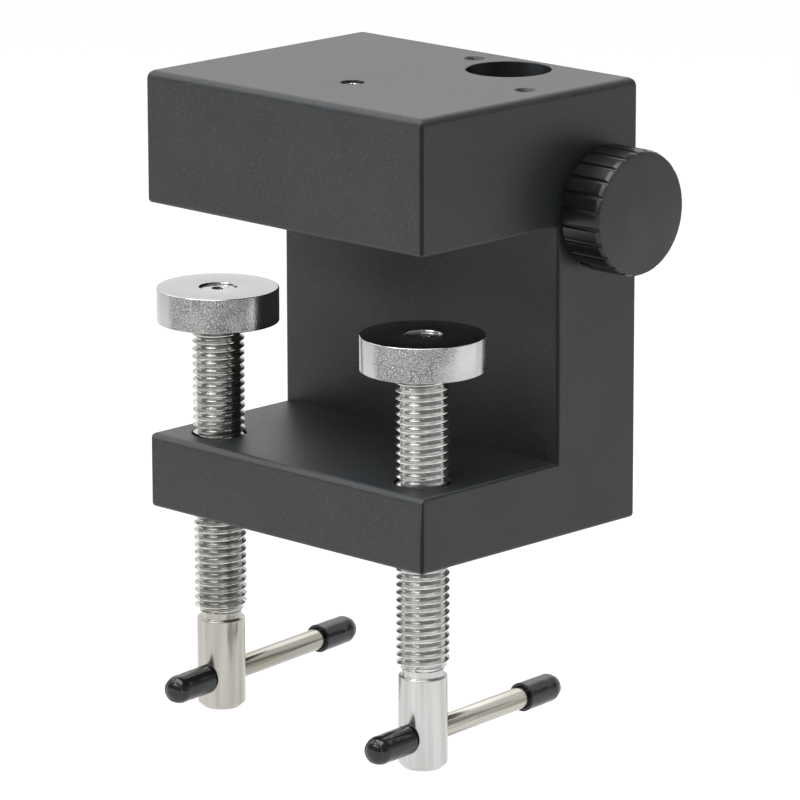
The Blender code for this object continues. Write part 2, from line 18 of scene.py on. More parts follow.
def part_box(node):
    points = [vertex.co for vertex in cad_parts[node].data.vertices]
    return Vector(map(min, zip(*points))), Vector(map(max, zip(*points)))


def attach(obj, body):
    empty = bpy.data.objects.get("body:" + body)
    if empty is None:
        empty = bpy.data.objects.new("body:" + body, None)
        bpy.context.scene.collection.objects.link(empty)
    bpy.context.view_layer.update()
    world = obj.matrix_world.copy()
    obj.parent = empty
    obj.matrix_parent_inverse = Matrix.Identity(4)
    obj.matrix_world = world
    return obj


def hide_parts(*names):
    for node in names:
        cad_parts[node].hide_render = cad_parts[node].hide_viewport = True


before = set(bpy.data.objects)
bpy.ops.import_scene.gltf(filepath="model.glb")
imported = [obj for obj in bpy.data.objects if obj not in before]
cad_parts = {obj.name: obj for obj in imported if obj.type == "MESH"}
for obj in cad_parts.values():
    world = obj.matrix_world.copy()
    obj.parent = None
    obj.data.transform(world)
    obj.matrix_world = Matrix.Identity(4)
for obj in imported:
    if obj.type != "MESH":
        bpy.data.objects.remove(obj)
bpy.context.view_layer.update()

# %% [markdown]
# ## Camera
#
# The picture was taken with a long lens, a little from above and from the clamp's right front corner. The
# block's edges hardly converge, so the camera stands well back. Its place and lens were worked out from the
# corners of the block, and its axes are built here from the azimuth and the elevation, with the last hair
# of tilt as a roll.

# %% Camera
CAMERA_AZIMUTH = math.radians(44.2055)
CAMERA_ELEVATION = math.radians(13.8789)
CAMERA_ROLL = math.radians(-0.1167)
CAMERA_PLACE = Vector((0.86464, -0.87348, 0.26166))
CAMERA_LENS = 256.5
CAMERA_REACH = 20.0


def direction(azimuth, elevation):
    """The unit vector towards a viewer who looks along +Y at azimuth 0."""
    level = math.cos(elevation)
    return Vector((math.sin(azimuth) * level, -math.cos(azimuth) * level, math.sin(elevation)))


back = direction(CAMERA_AZIMUTH, CAMERA_ELEVATION)
right = Vector((math.cos(CAMERA_AZIMUTH), math.sin(CAMERA_AZIMUTH), 0.0))
axes = Matrix((right, back.cross(right), back)).transposed() @ Matrix.Rotation(CAMERA_ROLL, 3, "Z")
camera = bpy.data.objects.new("camera", bpy.data.cameras.new("camera"))
camera.data.lens = CAMERA_LENS
camera.data.clip_end = CAMERA_REACH
camera.matrix_world = Matrix.Translation(CAMERA_PLACE) @ axes.to_4x4()
bpy.context.scene.collection.objects.link(camera)
bpy.context.scene.camera = camera
bpy.context.scene.view_settings.view_transform = "Standard"
print("camera is", round(CAMERA_PLACE.length, 3), "m from the jaw")

# %% [markdown]
# ## Nodes in a few words
#
# Materials and geometry trees are both made of nodes, and both are easier to read when each node is one
# call. The helper below makes a node, sets its options, and then either links or sets each input, whichever
# it was given.

# %% A helper for nodes


def add_node(tree, kind, inputs=None, **options):
    """A node with its options set. Each input, by name or number, is given a value or a socket to link."""
    node = tree.nodes.new(kind)
    for option, value in options.items():
        setattr(node, option, value)
    for socket, value in (inputs or {}).items():
        if isinstance(value, bpy.types.NodeSocket):
            tree.links.new(value, node.inputs[socket])
        else:
            node.inputs[socket].default_value = value
    return node


def calculate(operation, *values):
    """The result of one Math node, in the tree of the sockets among its values."""
    tree = next(value.id_data for value in values if isinstance(value, bpy.types.NodeSocket))
    return add_node(tree, "ShaderNodeMath", dict(enumerate(values)), operation=operation).outputs[0]


# %% [markdown]
# ## Studio
#
# The object was cut out on white, so the floor and the backdrop have to read as white without pouring light
# on the clamp. The camera sees them glow, and so do polished surfaces, which mirror the backdrop in full
# and the floor in part, while the diffuse light on the coat comes from the softboxes alone. A share of both
# stays plain matt, which keeps a faint shadow on the floor. The backdrop stands far enough back to leave
# room for a camera in front of it that looks at the clamp from behind. The sky is dim, because dark bands
# between the lamps are what gives metal and vinyl their form.

# %% Floor, backdrop and world
FLOOR_HEIGHT = -0.150
FLOOR_SIZE = 13.0
BACKDROP_DISTANCE = 2.0
BACKDROP_HEIGHT = 3.6
GLOW_SHARE = 0.8
GLOW_LEVEL = 1.15
FLOOR_MIRRORED = 0.8
WORLD_LEVEL = 0.25
WHITE = (1.0, 1.0, 1.0, 1.0)
MATT_WHITE = (0.8, 0.8, 0.8, 1.0)


def stage_material(name, mirrored):
    """Matt white that glows for the camera, and by the share mirrored for glossy and clear surfaces."""
    material = bpy.data.materials.new(name)
    material.use_nodes = True
    tree = material.node_tree
    tree.nodes.clear()
    path = add_node(tree, "ShaderNodeLightPath").outputs
    polished = calculate("MAXIMUM", path["Is Glossy Ray"], path["Is Transmission Ray"])
    seen = calculate("MAXIMUM", path["Is Camera Ray"], calculate("MULTIPLY", polished, mirrored))
    matt = add_node(tree, "ShaderNodeBsdfDiffuse", {"Color": MATT_WHITE}).outputs[0]
    glow = add_node(tree, "ShaderNodeEmission", {"Color": WHITE, "Strength": GLOW_LEVEL}).outputs[0]
    share = calculate("MULTIPLY", seen, GLOW_SHARE)
    mixed = add_node(tree, "ShaderNodeMixShader", {0: share, 1: matt, 2: glow}).outputs[0]
    add_node(tree, "ShaderNodeOutputMaterial", {"Surface": mixed})
    return material


def mesh_of(name, work):
    """A mesh with the content of a bmesh, which is freed."""
    mesh = bpy.data.meshes.new(name)
    work.to_mesh(mesh)
    work.free()
    return mesh


def stage_plane(name, width, height, matrix, finish):
    """A flat sheet, moved to its place, that belongs to the studio and not to the object."""
    work = bmesh.new()
    bmesh.ops.create_grid(work, x_segments=1, y_segments=1, size=0.5)
    bmesh.ops.scale(work, vec=(width, height, 1.0), verts=work.verts)
    work.transform(matrix)
    mesh = mesh_of(name, work)
    mesh.materials.append(finish)
    plane = bpy.data.objects.new(name, mesh)
    bpy.context.scene.collection.objects.link(plane)


stage_plane("floor", FLOOR_SIZE, FLOOR_SIZE, Matrix.Translation((0.0, 0.0, FLOOR_HEIGHT)),
            stage_material("white_floor", FLOOR_MIRRORED))
away = -direction(CAMERA_AZIMUTH, 0.0)
wall_middle = away * BACKDROP_DISTANCE + Vector((0.0, 0.0, FLOOR_HEIGHT + BACKDROP_HEIGHT / 2))
stage_plane("backdrop", FLOOR_SIZE, BACKDROP_HEIGHT,
            Matrix.Translation(wall_middle) @ away.to_track_quat("Z", "Y").to_matrix().to_4x4(),
            stage_material("white_backdrop", 1.0))

world = bpy.data.worlds.new("studio")
world.use_nodes = True
bpy.context.scene.world = world
world.node_tree.nodes.clear()
from_camera = add_node(world.node_tree, "ShaderNodeLightPath").outputs["Is Camera Ray"]
level = add_node(world.node_tree, "ShaderNodeMapRange", {"Value": from_camera, "To Min": WORLD_LEVEL})
sky = add_node(world.node_tree, "ShaderNodeBackground", {"Color": WHITE, "Strength": level.outputs[0]})
add_node(world.node_tree, "ShaderNodeOutputWorld", {"Surface": sky.outputs[0]})
print("floor at", FLOOR_HEIGHT, "m, below the lowest pose of the screws")

# %% [markdown]
# ## Softboxes
#
# Black powder coat shows its form by sheen, and metal shows nothing but what it mirrors. Both need broad
# lamps. Each softbox here is an area lamp that is given by the direction it comes from, as the camera is,
# and by its radiance, because that is the brightness a polished surface mirrors.

# %% Softboxes
SUBJECT = Vector((0.0, 0.0, -0.03))


def softbox(name, azimuth, elevation, distance, width, height, radiance):
    """An area lamp that faces the clamp. Radiance 1 is as bright as a white sheet."""
    towards = direction(math.radians(azimuth), math.radians(elevation))
    lamp = bpy.data.lights.new(name, "AREA")
    lamp.shape = "RECTANGLE"
    lamp.size = width
    lamp.size_y = height
    lamp.energy = radiance * math.pi * width * height
    placed = bpy.data.objects.new(name, lamp)
    turn = towards.to_track_quat("Z", "Y").to_matrix().to_4x4()
    placed.matrix_world = Matrix.Translation(SUBJECT + towards * distance) @ turn
    bpy.context.scene.collection.objects.link(placed)
    print(name, "gives", round(lamp.energy, 2), "W")


softbox("top_softbox", azimuth=10, elevation=72, distance=0.75, width=0.9, height=0.7, radiance=4.45)
softbox("front_softbox", azimuth=-3, elevation=29, distance=0.9, width=0.85, height=0.34, radiance=1.6)
softbox("key_softbox", azimuth=-9, elevation=31, distance=0.9, width=0.2, height=0.22, radiance=5.0)
softbox("left_softbox", azimuth=-64, elevation=37, distance=0.8, width=0.5, height=0.35, radiance=2.0)
softbox("side_softbox", azimuth=125, elevation=-8, distance=0.35, width=0.35, height=0.1, radiance=0.35)
softbox("back_softbox", azimuth=224, elevation=38, distance=0.85, width=1.0, height=0.5, radiance=0.95)

# %% [markdown]
# ## A base for the finishes
#
# Every finish here is a Principled shader whose colour, roughness or relief follows noise, so the steps
# they share come first. The noise reads object coordinates, which are in metres: a grain's size is written
# as on the real part, and no pattern shows a seam. Noise values crowd round 0.5, so the two spans that hold
# most of them have names.

# %% A base for the finishes
NOISE_MIDDLE = (0.35, 0.65)
NOISE_WIDE = (0.3, 0.7)
WHOLE = (0.0, 1.0)


def new_finish(name, colour, roughness, metallic=0.0):
    """A material. Returns it with its Principled shader and its object coordinates."""
    material = bpy.data.materials.new(name)
    material.use_nodes = True
    shader = material.node_tree.nodes["Principled BSDF"]
    shader.inputs["Base Color"].default_value = (*colour, 1.0)
    shader.inputs["Roughness"].default_value = roughness
    shader.inputs["Metallic"].default_value = metallic
    return material, shader, add_node(material.node_tree, "ShaderNodeTexCoord").outputs["Object"]


def noise(place, size, detail=2.0, roughness=0.5):
    """Noise whose features are about size metres across. Its values lie round 0.5."""
    inputs = {"Vector": place, "Scale": 1.0 / size, "Detail": detail, "Roughness": roughness}
    return add_node(place.id_data, "ShaderNodeTexNoise", inputs).outputs[0]


def stretched(place, *scale):
    """Coordinates in which noise is drawn out along each axis whose scale is below 1."""
    return add_node(place.id_data, "ShaderNodeMapping", {"Vector": place, "Scale": scale}).outputs[0]


def ranged(value, span, to=WHOLE):
    """The value stretched from its span to another, and held inside that."""
    inputs = {"Value": value, "From Min": span[0], "From Max": span[1], "To Min": to[0], "To Max": to[1]}
    return add_node(value.id_data, "ShaderNodeMapRange", inputs).outputs[0]


def blended(share, first, second):
    """A colour between two, by share. Each is a socket or a plain colour."""
    ends = [end if isinstance(end, bpy.types.NodeSocket) else (*end, 1.0) for end in (first, second)]
    inputs = {0: share, 6: ends[0], 7: ends[1]}
    return add_node(share.id_data, "ShaderNodeMix", inputs, data_type="RGBA").outputs[2]


def drive(shader, name, value):
    """Let a socket of the tree set one of the shader's inputs."""
    shader.id_data.links.new(value, shader.inputs[name])


def bumped(shader, height, depth):
    """Add a relief to the shader, on top of any that it has. Depth is in metres."""
    inputs = {"Height": height, "Distance": depth, "Strength": 1.0}
    below = shader.inputs["Normal"].links
    if below:
        inputs["Normal"] = below[0].from_socket
    drive(shader, "Normal", add_node(shader.id_data, "ShaderNodeBump", inputs).outputs[0])


def shade(colour, share):
    """The colour made darker, or lighter where the share is over 1."""
    return tuple(share * part for part in colour)


print("spans of noise:", NOISE_MIDDLE, "and", NOISE_WIDE)

# %% [markdown]
# ## Powder coat
#
# The block wears a black powder coat. Powder melts into a skin with a fine pebbled surface: from a step
# away it is an even dark grey, and close up it glitters a little where a pebble faces a lamp. An image
# texture would show its seams on the big flat faces, so two layers of noise on the block's own coordinates
# shape the skin instead, one for the pebbles and one for the slow swell under them. Pale flecks stand for
# the grains that stay proud. The upright corners get painted shade: a darker colour and less sheen than
# the faces beside them.

# %% Powder coat
PEBBLE = 0.00038
SWELL = 0.0028
PATCH = 0.02
DARK_COAT = (0.0165, 0.0190, 0.0215)
LIGHT_COAT = (0.0200, 0.0230, 0.0255)
FLECK = (0.055, 0.057, 0.059)
# Painted shade: the colour of the upright corners, darker than the coat
CORNER_SHADE = (0.010, 0.011, 0.012)


def upright_corners(facing):
    """1 on the block's rounded upright corners, which get painted shade, and 0 on its flat faces and level
    edges.
    """
    parts = add_node(facing.id_data, "ShaderNodeSeparateXYZ", {0: facing}).outputs
    both = calculate("ABSOLUTE", calculate("MULTIPLY", parts["X"], parts["Y"]))
    return ranged(both, span=(0.12, 0.4))


def powder_coat():
    material, shader, place = new_finish("powder_coat", LIGHT_COAT, roughness=0.5)
    pebbles = noise(place, PEBBLE, detail=3.0, roughness=0.6)
    flecks = ranged(noise(place, PEBBLE, detail=1.0), span=(0.60, 0.77))
    patches = ranged(noise(place, PATCH), NOISE_MIDDLE)
    flecked = blended(flecks, blended(patches, DARK_COAT, LIGHT_COAT), FLECK)
    corner = upright_corners(place.node.outputs["Normal"])
    # Painted shade on the upright corners: a darker colour and less sheen
    drive(shader, "Base Color", blended(corner, flecked, CORNER_SHADE))
    drive(shader, "Specular IOR Level", ranged(corner, WHOLE, to=(0.46, 0.2)))
    drive(shader, "Roughness", ranged(pebbles, NOISE_WIDE, to=(0.37, 0.50)))
    bumped(shader, noise(place, SWELL), depth=0.00004)
    bumped(shader, pebbles, depth=0.000035)
    return material


POWDER_COAT = powder_coat()
print("powder coat with pebbles of", 1000 * PEBBLE, "mm")

# %% [markdown]
# ## Nickel plate
#
# The pads and the tommy bars are nickel plated. A pad's flat face was polished and mirrors cleanly. Its rim
# was plated straight over a turned and tumbled surface, which breaks the mirror image into fine grains,
# some bright and some dark, and dark pits are laid into its colour. So a pad gets two finishes. On two
# stretches of the rim most of the grain and the dark pits are left out, which paints those stretches
# lighter as painted light; the object's own normal tells where they are. Each is written as its azimuth,
# its half width and the half width of its blend, in degrees.

# %% Nickel plate
NICKEL = (0.52, 0.518, 0.51)
GRAIN = 0.0004
PIT = 0.8 * GRAIN
PIT_SHADE = 0.3
# Painted light: two stretches of the rim with little grain and no dark pits
EVEN_LIT_STRETCHES = ((-50, 46, 5), (96, 30, 17))


def polished_nickel():
    material, shader, place = new_finish("polished_nickel", NICKEL, roughness=0.07, metallic=1.0)
    bumped(shader, noise(place, size=0.006, detail=1.0), depth=0.00003)
    drive(shader, "Roughness", ranged(noise(place, size=0.003, detail=3.0), NOISE_MIDDLE, to=(0.05, 0.11)))
    return material


def even_lit_share(facing):
    """1 where the rim's plating is even and painted lighter, and 0 where it is grainy."""
    even = 0.0
    for azimuth, half_width, blend in EVEN_LIT_STRETCHES:
        inputs = {0: facing, 1: direction(math.radians(azimuth), 0.0)}
        dot = add_node(facing.id_data, "ShaderNodeVectorMath", inputs, operation="DOT_PRODUCT").outputs[1]
        outside = math.cos(math.radians(half_width + blend))
        inside = math.cos(math.radians(half_width - blend))
        even = calculate("MAXIMUM", ranged(dot, (outside, inside)), even)
    return even


def tumbled_nickel():
    material, shader, place = new_finish("tumbled_nickel", NICKEL, roughness=0.16, metallic=1.0)
    # Painted light: on the stretches the dark pits are left out of the colour
    grainy = ranged(even_lit_share(place.node.outputs["Normal"]), WHOLE, to=(1.0, 0.08))
    blotches = ranged(noise(place, size=0.004), span=(0.35, 0.6), to=(0.55, 1.0))
    share = calculate("MULTIPLY", grainy, blotches)
    bumped(shader, calculate("MULTIPLY", noise(place, GRAIN, roughness=0.6), share), depth=0.0004)
    pits = ranged(noise(place, PIT, detail=3.0, roughness=0.7), span=(0.42, 0.62), to=(1.0, 0.0))
    pitted = blended(calculate("MULTIPLY", pits, share), NICKEL, shade(NICKEL, PIT_SHADE))
    drive(shader, "Base Color", pitted)
    return material


POLISHED_NICKEL = polished_nickel()
TUMBLED_NICKEL = tumbled_nickel()
# The azimuths of the stretches that are even and painted lighter
print("rim plated evenly round the azimuths", [stretch[0] for stretch in EVEN_LIT_STRETCHES])

# %% [markdown]
# ## Drawn nickel
#
# The tommy bars are drawn rod, a little warmer in colour. Drawing leaves lines along the bar that are too
# fine to see one by one, but they pull every reflection out lengthwise. The noise is turned to the bar's
# direction and stretched along it. Broader streaks of the same kind darken the plating a little.

# %% Drawn nickel
SIDES = ("left", "right")
BAR_TURNS = {"left": math.radians(97), "right": math.radians(95.5)}
# Painted shade: the left bar's nickel is darker than the right bar's
BAR_NICKEL = {"left": (0.41, 0.39, 0.345), "right": (0.55, 0.527, 0.48)}
STREAK_NICKEL = (0.27, 0.25, 0.19)
DRAWN_OUT = 0.02


def drawn_nickel(side):
    colour = BAR_NICKEL[side]
    material, shader, place = new_finish(f"drawn_nickel_{side}", colour, roughness=0.14, metallic=1.0)
    turned = {"Vector": place, "Rotation": (0.0, 0.0, -BAR_TURNS[side])}
    along_x = add_node(material.node_tree, "ShaderNodeMapping", turned).outputs[0]
    along_bar = stretched(along_x, DRAWN_OUT, 1.0, 1.0)
    lines = noise(along_bar, size=0.00018, detail=3.0, roughness=0.6)
    bumped(shader, lines, depth=0.000006)
    streaks = ranged(noise(along_bar, size=0.0009), span=(0.5, 0.68))
    drive(shader, "Base Color", blended(streaks, colour, STREAK_NICKEL))
    drive(shader, "Roughness", ranged(lines, NOISE_WIDE, to=(0.09, 0.2)))
    return material


DRAWN_NICKEL = {side: drawn_nickel(side) for side in SIDES}
print("bars lie at", [round(math.degrees(turn), 1) for turn in BAR_TURNS.values()], "degrees")

# %% [markdown]
# ## Turned steel
#
# Spindles come off a lathe, so their finish runs round them in fine rings. Stretching the noise sideways
# and leaving it tight along the axis draws those rings. Noise stretched the other way leaves soft streaks
# down the side, as on a bar that was drawn before it was turned. The threads were rolled, not cut: they
# come out brighter than the heads, but with darker lines along the thread. The left spindle's steels are
# darker, as painted shade, and warmer than the right one's, so each has its own pair of steels.

# %% Turned steel
STEEL = (0.58, 0.58, 0.567)
# Painted shade: the left spindle's head, thread and lines are darker than the right one's
LEFT_SHADED_STEEL = (0.47, 0.45, 0.412)
ROLLED_STEEL = {"left": (0.64, 0.64, 0.61), "right": (0.74, 0.74, 0.725)}
LINE_SHADE = {"left": 0.58, "right": 0.72}
BLACK = (0.0, 0.0, 0.0)
RING_STRETCH = 0.06
STREAK_STRETCH = 0.05
STREAK_SHADES = (1.06, 0.88)


def turned_steel(name, colour, line_shade=1.0):
    """Steel with rings round it. The darkest of its rings have the line shade."""
    material, shader, place = new_finish(name, colour, roughness=0.2, metallic=1.0)
    around = stretched(place, RING_STRETCH, RING_STRETCH, 1.0)
    rings = noise(around, size=0.00025, detail=3.0, roughness=0.65)
    bumped(shader, rings, depth=0.000004)
    upright = noise(stretched(place, 1.0, 1.0, STREAK_STRETCH), size=0.0022)
    streaks = ranged(upright, span=(0.35, 0.62), to=(1.0, 0.0))
    streaked = blended(streaks, *[shade(colour, share) for share in STREAK_SHADES])
    lines = calculate("MULTIPLY", ranged(rings, span=(0.42, 0.6), to=(1.0, 0.0)), 1.0 - line_shade)
    drive(shader, "Base Color", blended(lines, streaked, BLACK))
    drive(shader, "Roughness", ranged(streaks, WHOLE, to=(0.16, 0.23)))
    return material


def rolled_steel(side):
    return turned_steel(f"rolled_steel_{side}", ROLLED_STEEL[side], LINE_SHADE[side])


TURNED_STEEL = turned_steel("turned_steel", STEEL)
# The left head takes the darker steel: painted shade
HEAD_STEEL = {"left": turned_steel("left_shaded_turned_steel", LEFT_SHADED_STEEL), "right": TURNED_STEEL}
THREAD_STEEL = {side: rolled_steel(side) for side in SIDES}
print("steels:", [steel.name for steel in (*HEAD_STEEL.values(), *THREAD_STEEL.values())])

# %% [markdown]
# ## Vinyl, plastic and brass
#
# The bar caps are dipped in vinyl, which dries glossy and never quite even, so they get a slow wave under a
# clear gloss. The knob is moulded plastic: its face has the fine matt grain of the mould, and its rim,
# which fingers polish, is glossier, with a much darker colour that is painted shade. The brass tip is only
# seen when the knob is drawn out, and is turned as the spindles are.

# %% Vinyl, plastic and brass
VINYL = (0.008, 0.008, 0.009)
KNOB_FACE_COLOURS = ((0.015, 0.0155, 0.0165), (0.025, 0.026, 0.027))
# Painted shade: the rim's colour, much darker than the face's
KNOB_RIM_SHADE = (0.004, 0.0042, 0.0045)
BRASS = (0.72, 0.50, 0.20)


def dipped_vinyl():
    material, shader, place = new_finish("dipped_vinyl", VINYL, roughness=0.1)
    bumped(shader, noise(place, size=0.0035, detail=1.0), depth=0.00009)
    drive(shader, "Roughness", ranged(noise(place, size=0.002, detail=3.0), NOISE_MIDDLE, to=(0.07, 0.16)))
    return material


def moulded_plastic():
    """The knob's plastic. The face looks along X and the rim across it, so the normal tells them apart."""
    material, shader, place = new_finish("moulded_plastic", KNOB_FACE_COLOURS[0], roughness=0.36)
    facing = place.node.outputs["Normal"]
    outward = add_node(facing.id_data, "ShaderNodeSeparateXYZ", {0: facing}).outputs["X"]
    matt = ranged(outward, span=(0.75, 0.95))
    cloudy = ranged(noise(place, size=0.012, detail=1.0), NOISE_MIDDLE)
    # Painted shade: where the normal lies across the axis, the rim takes the darker colour
    drive(shader, "Base Color", blended(matt, KNOB_RIM_SHADE, blended(cloudy, *KNOB_FACE_COLOURS)))
    grain = noise(place, size=0.0003, detail=3.0, roughness=0.6)
    bumped(shader, calculate("MULTIPLY", grain, matt), depth=0.000025)
    bumped(shader, noise(place, size=0.007, detail=1.0), depth=0.00008)
    fine = ranged(grain, NOISE_WIDE, to=(-0.04, 0.04))
    drive(shader, "Roughness", calculate("ADD", fine, ranged(matt, WHOLE, to=(0.32, 0.42))))
    return material


def turned_brass():
    material, shader, place = new_finish("turned_brass", BRASS, roughness=0.3, metallic=1.0)
    rings = noise(stretched(place, 1.0, RING_STRETCH, RING_STRETCH), size=0.0002)
    bumped(shader, rings, depth=0.000012)
    drive(shader, "Roughness", ranged(rings, NOISE_WIDE, to=(0.24, 0.38)))
    return material


DIPPED_VINYL = dipped_vinyl()
MOULDED_PLASTIC = moulded_plastic()
TURNED_BRASS = turned_brass()
print("finishes:", [material.name for material in bpy.data.materials if material.use_nodes])

# %% [markdown]
# ## A lathe
#
# Nearly every piece here was turned on a lathe, so the script gets a lathe too. A profile is a list of
# radius and height, from the top down the outside. A point with a third number has its corner eased by that
# distance, because no turned edge is truly sharp, and it is that small round that catches a line of light.
# The usual rounds have names. The profile is spun round the Z axis, its doubles are merged, and its normals
# are made to point outwards.

# %% A lathe
STEPS = 128
SMALL_STEPS = 64
SHARP_ANGLE = math.radians(40)
MERGE = 2e-6
CRISP_EDGE = 0.00008
FINE_EDGE = 0.0001
SOFT_EDGE = 0.0002
ROUND_EDGE = 0.0003
BLUNT_EDGE = 0.0004


def eased(profile, closed=False, segments=4):
    """The profile with each eased corner drawn as a short curve."""
    points = []
    for k, (radius, height, *ease) in enumerate(profile):
        corner = Vector((radius, height))
        if not ease:
            points.append(corner)
            continue
        before = Vector(profile[k - 1][:2])
        after = Vector(profile[(k + 1) % len(profile)][:2])
        start = corner + (before - corner).normalized() * ease[0]
        end = corner + (after - corner).normalized() * ease[0]
        for step in range(segments + 1):
            t = step / segments
            points.append(start * (1 - t) ** 2 + corner * 2 * t * (1 - t) + end * t ** 2)
    if closed:
        points.append(points[0])
    return points


def spun(profile, closed=False, steps=STEPS):
    """The profile spun round the Z axis, as a bmesh."""
    work = bmesh.new()
    points = [work.verts.new((point.x, 0.0, point.y)) for point in eased(profile, closed)]
    edges = [work.edges.new(pair) for pair in zip(points, points[1:])]
    bmesh.ops.spin(work, geom=points + edges, cent=(0, 0, 0), axis=(0, 0, 1), angle=math.tau, steps=steps)
    bmesh.ops.remove_doubles(work, verts=work.verts, dist=MERGE)
    bmesh.ops.recalc_face_normals(work, faces=work.faces)
    return work


def smoothed(mesh):
    """Shade the mesh smooth, but keep its real edges sharp."""
    mesh.shade_smooth()
    mesh.set_sharp_from_angle(angle=SHARP_ANGLE)


def new_piece(name, work, finish, matrix=None):
    """An object at the origin from a bmesh, which is moved to its place first and then freed."""
    if matrix is not None:
        work.transform(matrix)
    mesh = mesh_of(name, work)
    smoothed(mesh)
    mesh.materials.append(finish)
    piece = bpy.data.objects.new(name, mesh)
    bpy.context.scene.collection.objects.link(piece)
    return piece


def settle(piece):
    """Apply the modifiers of a piece and leave a plain mesh."""
    bpy.context.view_layer.update()
    graph = bpy.context.evaluated_depsgraph_get()
    mesh = bpy.data.meshes.new_from_object(piece.evaluated_get(graph))
    piece.modifiers.clear()
    piece.data = mesh
    smoothed(mesh)


def cut(piece, *tools):
    """Take the tools out of the piece, and then delete them."""
    for tool in tools:
        step = piece.modifiers.new(tool.name, "BOOLEAN")
        step.solver = "EXACT"
        step.object = tool
    settle(piece)
    for tool in tools:
        bpy.data.objects.remove(tool)


def dress(piece, body, slot, *nodes):
    """Let the piece ride on its body, in place of the CAD nodes that it stands for."""
    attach(piece, body)
    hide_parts(*nodes)
    print(piece.name, "rides on", body, "with", len(piece.data.polygons), "faces")


print("a ring of the lathe has", STEPS, "steps")

# %% [markdown]
# ## Geometry trees
#
# What repeats round a piece, as a thread or a row of flutes does, is made by Geometry Nodes. A tree has
# named inputs for its sizes, so that one tree serves screws of every size. Its inputs are set by their
# identifiers, the mesh that it makes is copied out as a plain one, and the object that carried the tree is
# deleted again.

# %% Geometry trees


def new_geometry_tree(name, inputs):
    """A geometry tree with named inputs. Returns the tree and its input sockets."""
    tree = bpy.data.node_groups.new(name, "GeometryNodeTree")
    for label, kind in inputs.items():
        tree.interface.new_socket(label, in_out="INPUT", socket_type="NodeSocket" + kind)
    tree.interface.new_socket("Geometry", in_out="OUTPUT", socket_type="NodeSocketGeometry")
    return tree, tree.nodes.new("NodeGroupInput").outputs


def finish_tree(tree, geometry, material):
    """Every tree ends the same way: real geometry, with its material."""
    real = add_node(tree, "GeometryNodeRealizeInstances", {0: geometry}).outputs[0]
    coated = add_node(tree, "GeometryNodeSetMaterial", {"Geometry": real, "Material": material}).outputs[0]
    tree.links.new(coated, tree.nodes.new("NodeGroupOutput").inputs[0])


def grown(name, tree, values, mesh=None):
    """The plain mesh that a geometry tree makes from its named inputs."""
    maker = bpy.data.objects.new(name, mesh or bpy.data.meshes.new(name))
    bpy.context.scene.collection.objects.link(maker)
    modifier = maker.modifiers.new(name, "NODES")
    modifier.node_group = tree
    sockets = {item.name: item.identifier for item in tree.interface.items_tree if item.in_out == "INPUT"}
    for label, value in values.items():
        modifier[sockets[label]] = value
    graph = bpy.context.evaluated_depsgraph_get()
    made = bpy.data.meshes.new_from_object(maker.evaluated_get(graph))
    bpy.data.objects.remove(maker)
    return made


# %% [markdown]
# ## Screw threads
#
# A thread repeats once a turn, and follows one rule: the profile climbs by the pitch for each turn.
# Modelling one turn and stacking copies would leave a seam at every turn, so Geometry Nodes bend a single
# grid into the whole thread. Along its length the grid walks round the screw, and across its width it draws
# one crest and one root. Rows past either end are pressed flat onto the end, where they merge into one
# ring, and a cone trims the crests there, as the lead-in chamfer does on the real screw. The ring has as
# many steps as the lathe, so that turned ends can be welded to it.

# %% The thread tree
THREAD_CORNERS = {
    "share of the pitch": (0.0, 0.12, 0.42, 0.55, 0.68, 1.0),
    "depth": (0.0, 0.0, 0.92, 1.0, 0.92, 0.0),
}
PRESSED_TURNS = 2.0


def picked(tree, index, values):
    """One of the values, by index."""
    switch = add_node(tree, "GeometryNodeIndexSwitch", data_type="FLOAT")
    while len(switch.index_switch_items) < len(values):
        switch.index_switch_items.new()
    tree.links.new(index, switch.inputs["Index"])
    for k, value in enumerate(values):
        switch.inputs[k + 1].default_value = value
    return switch.outputs[0]


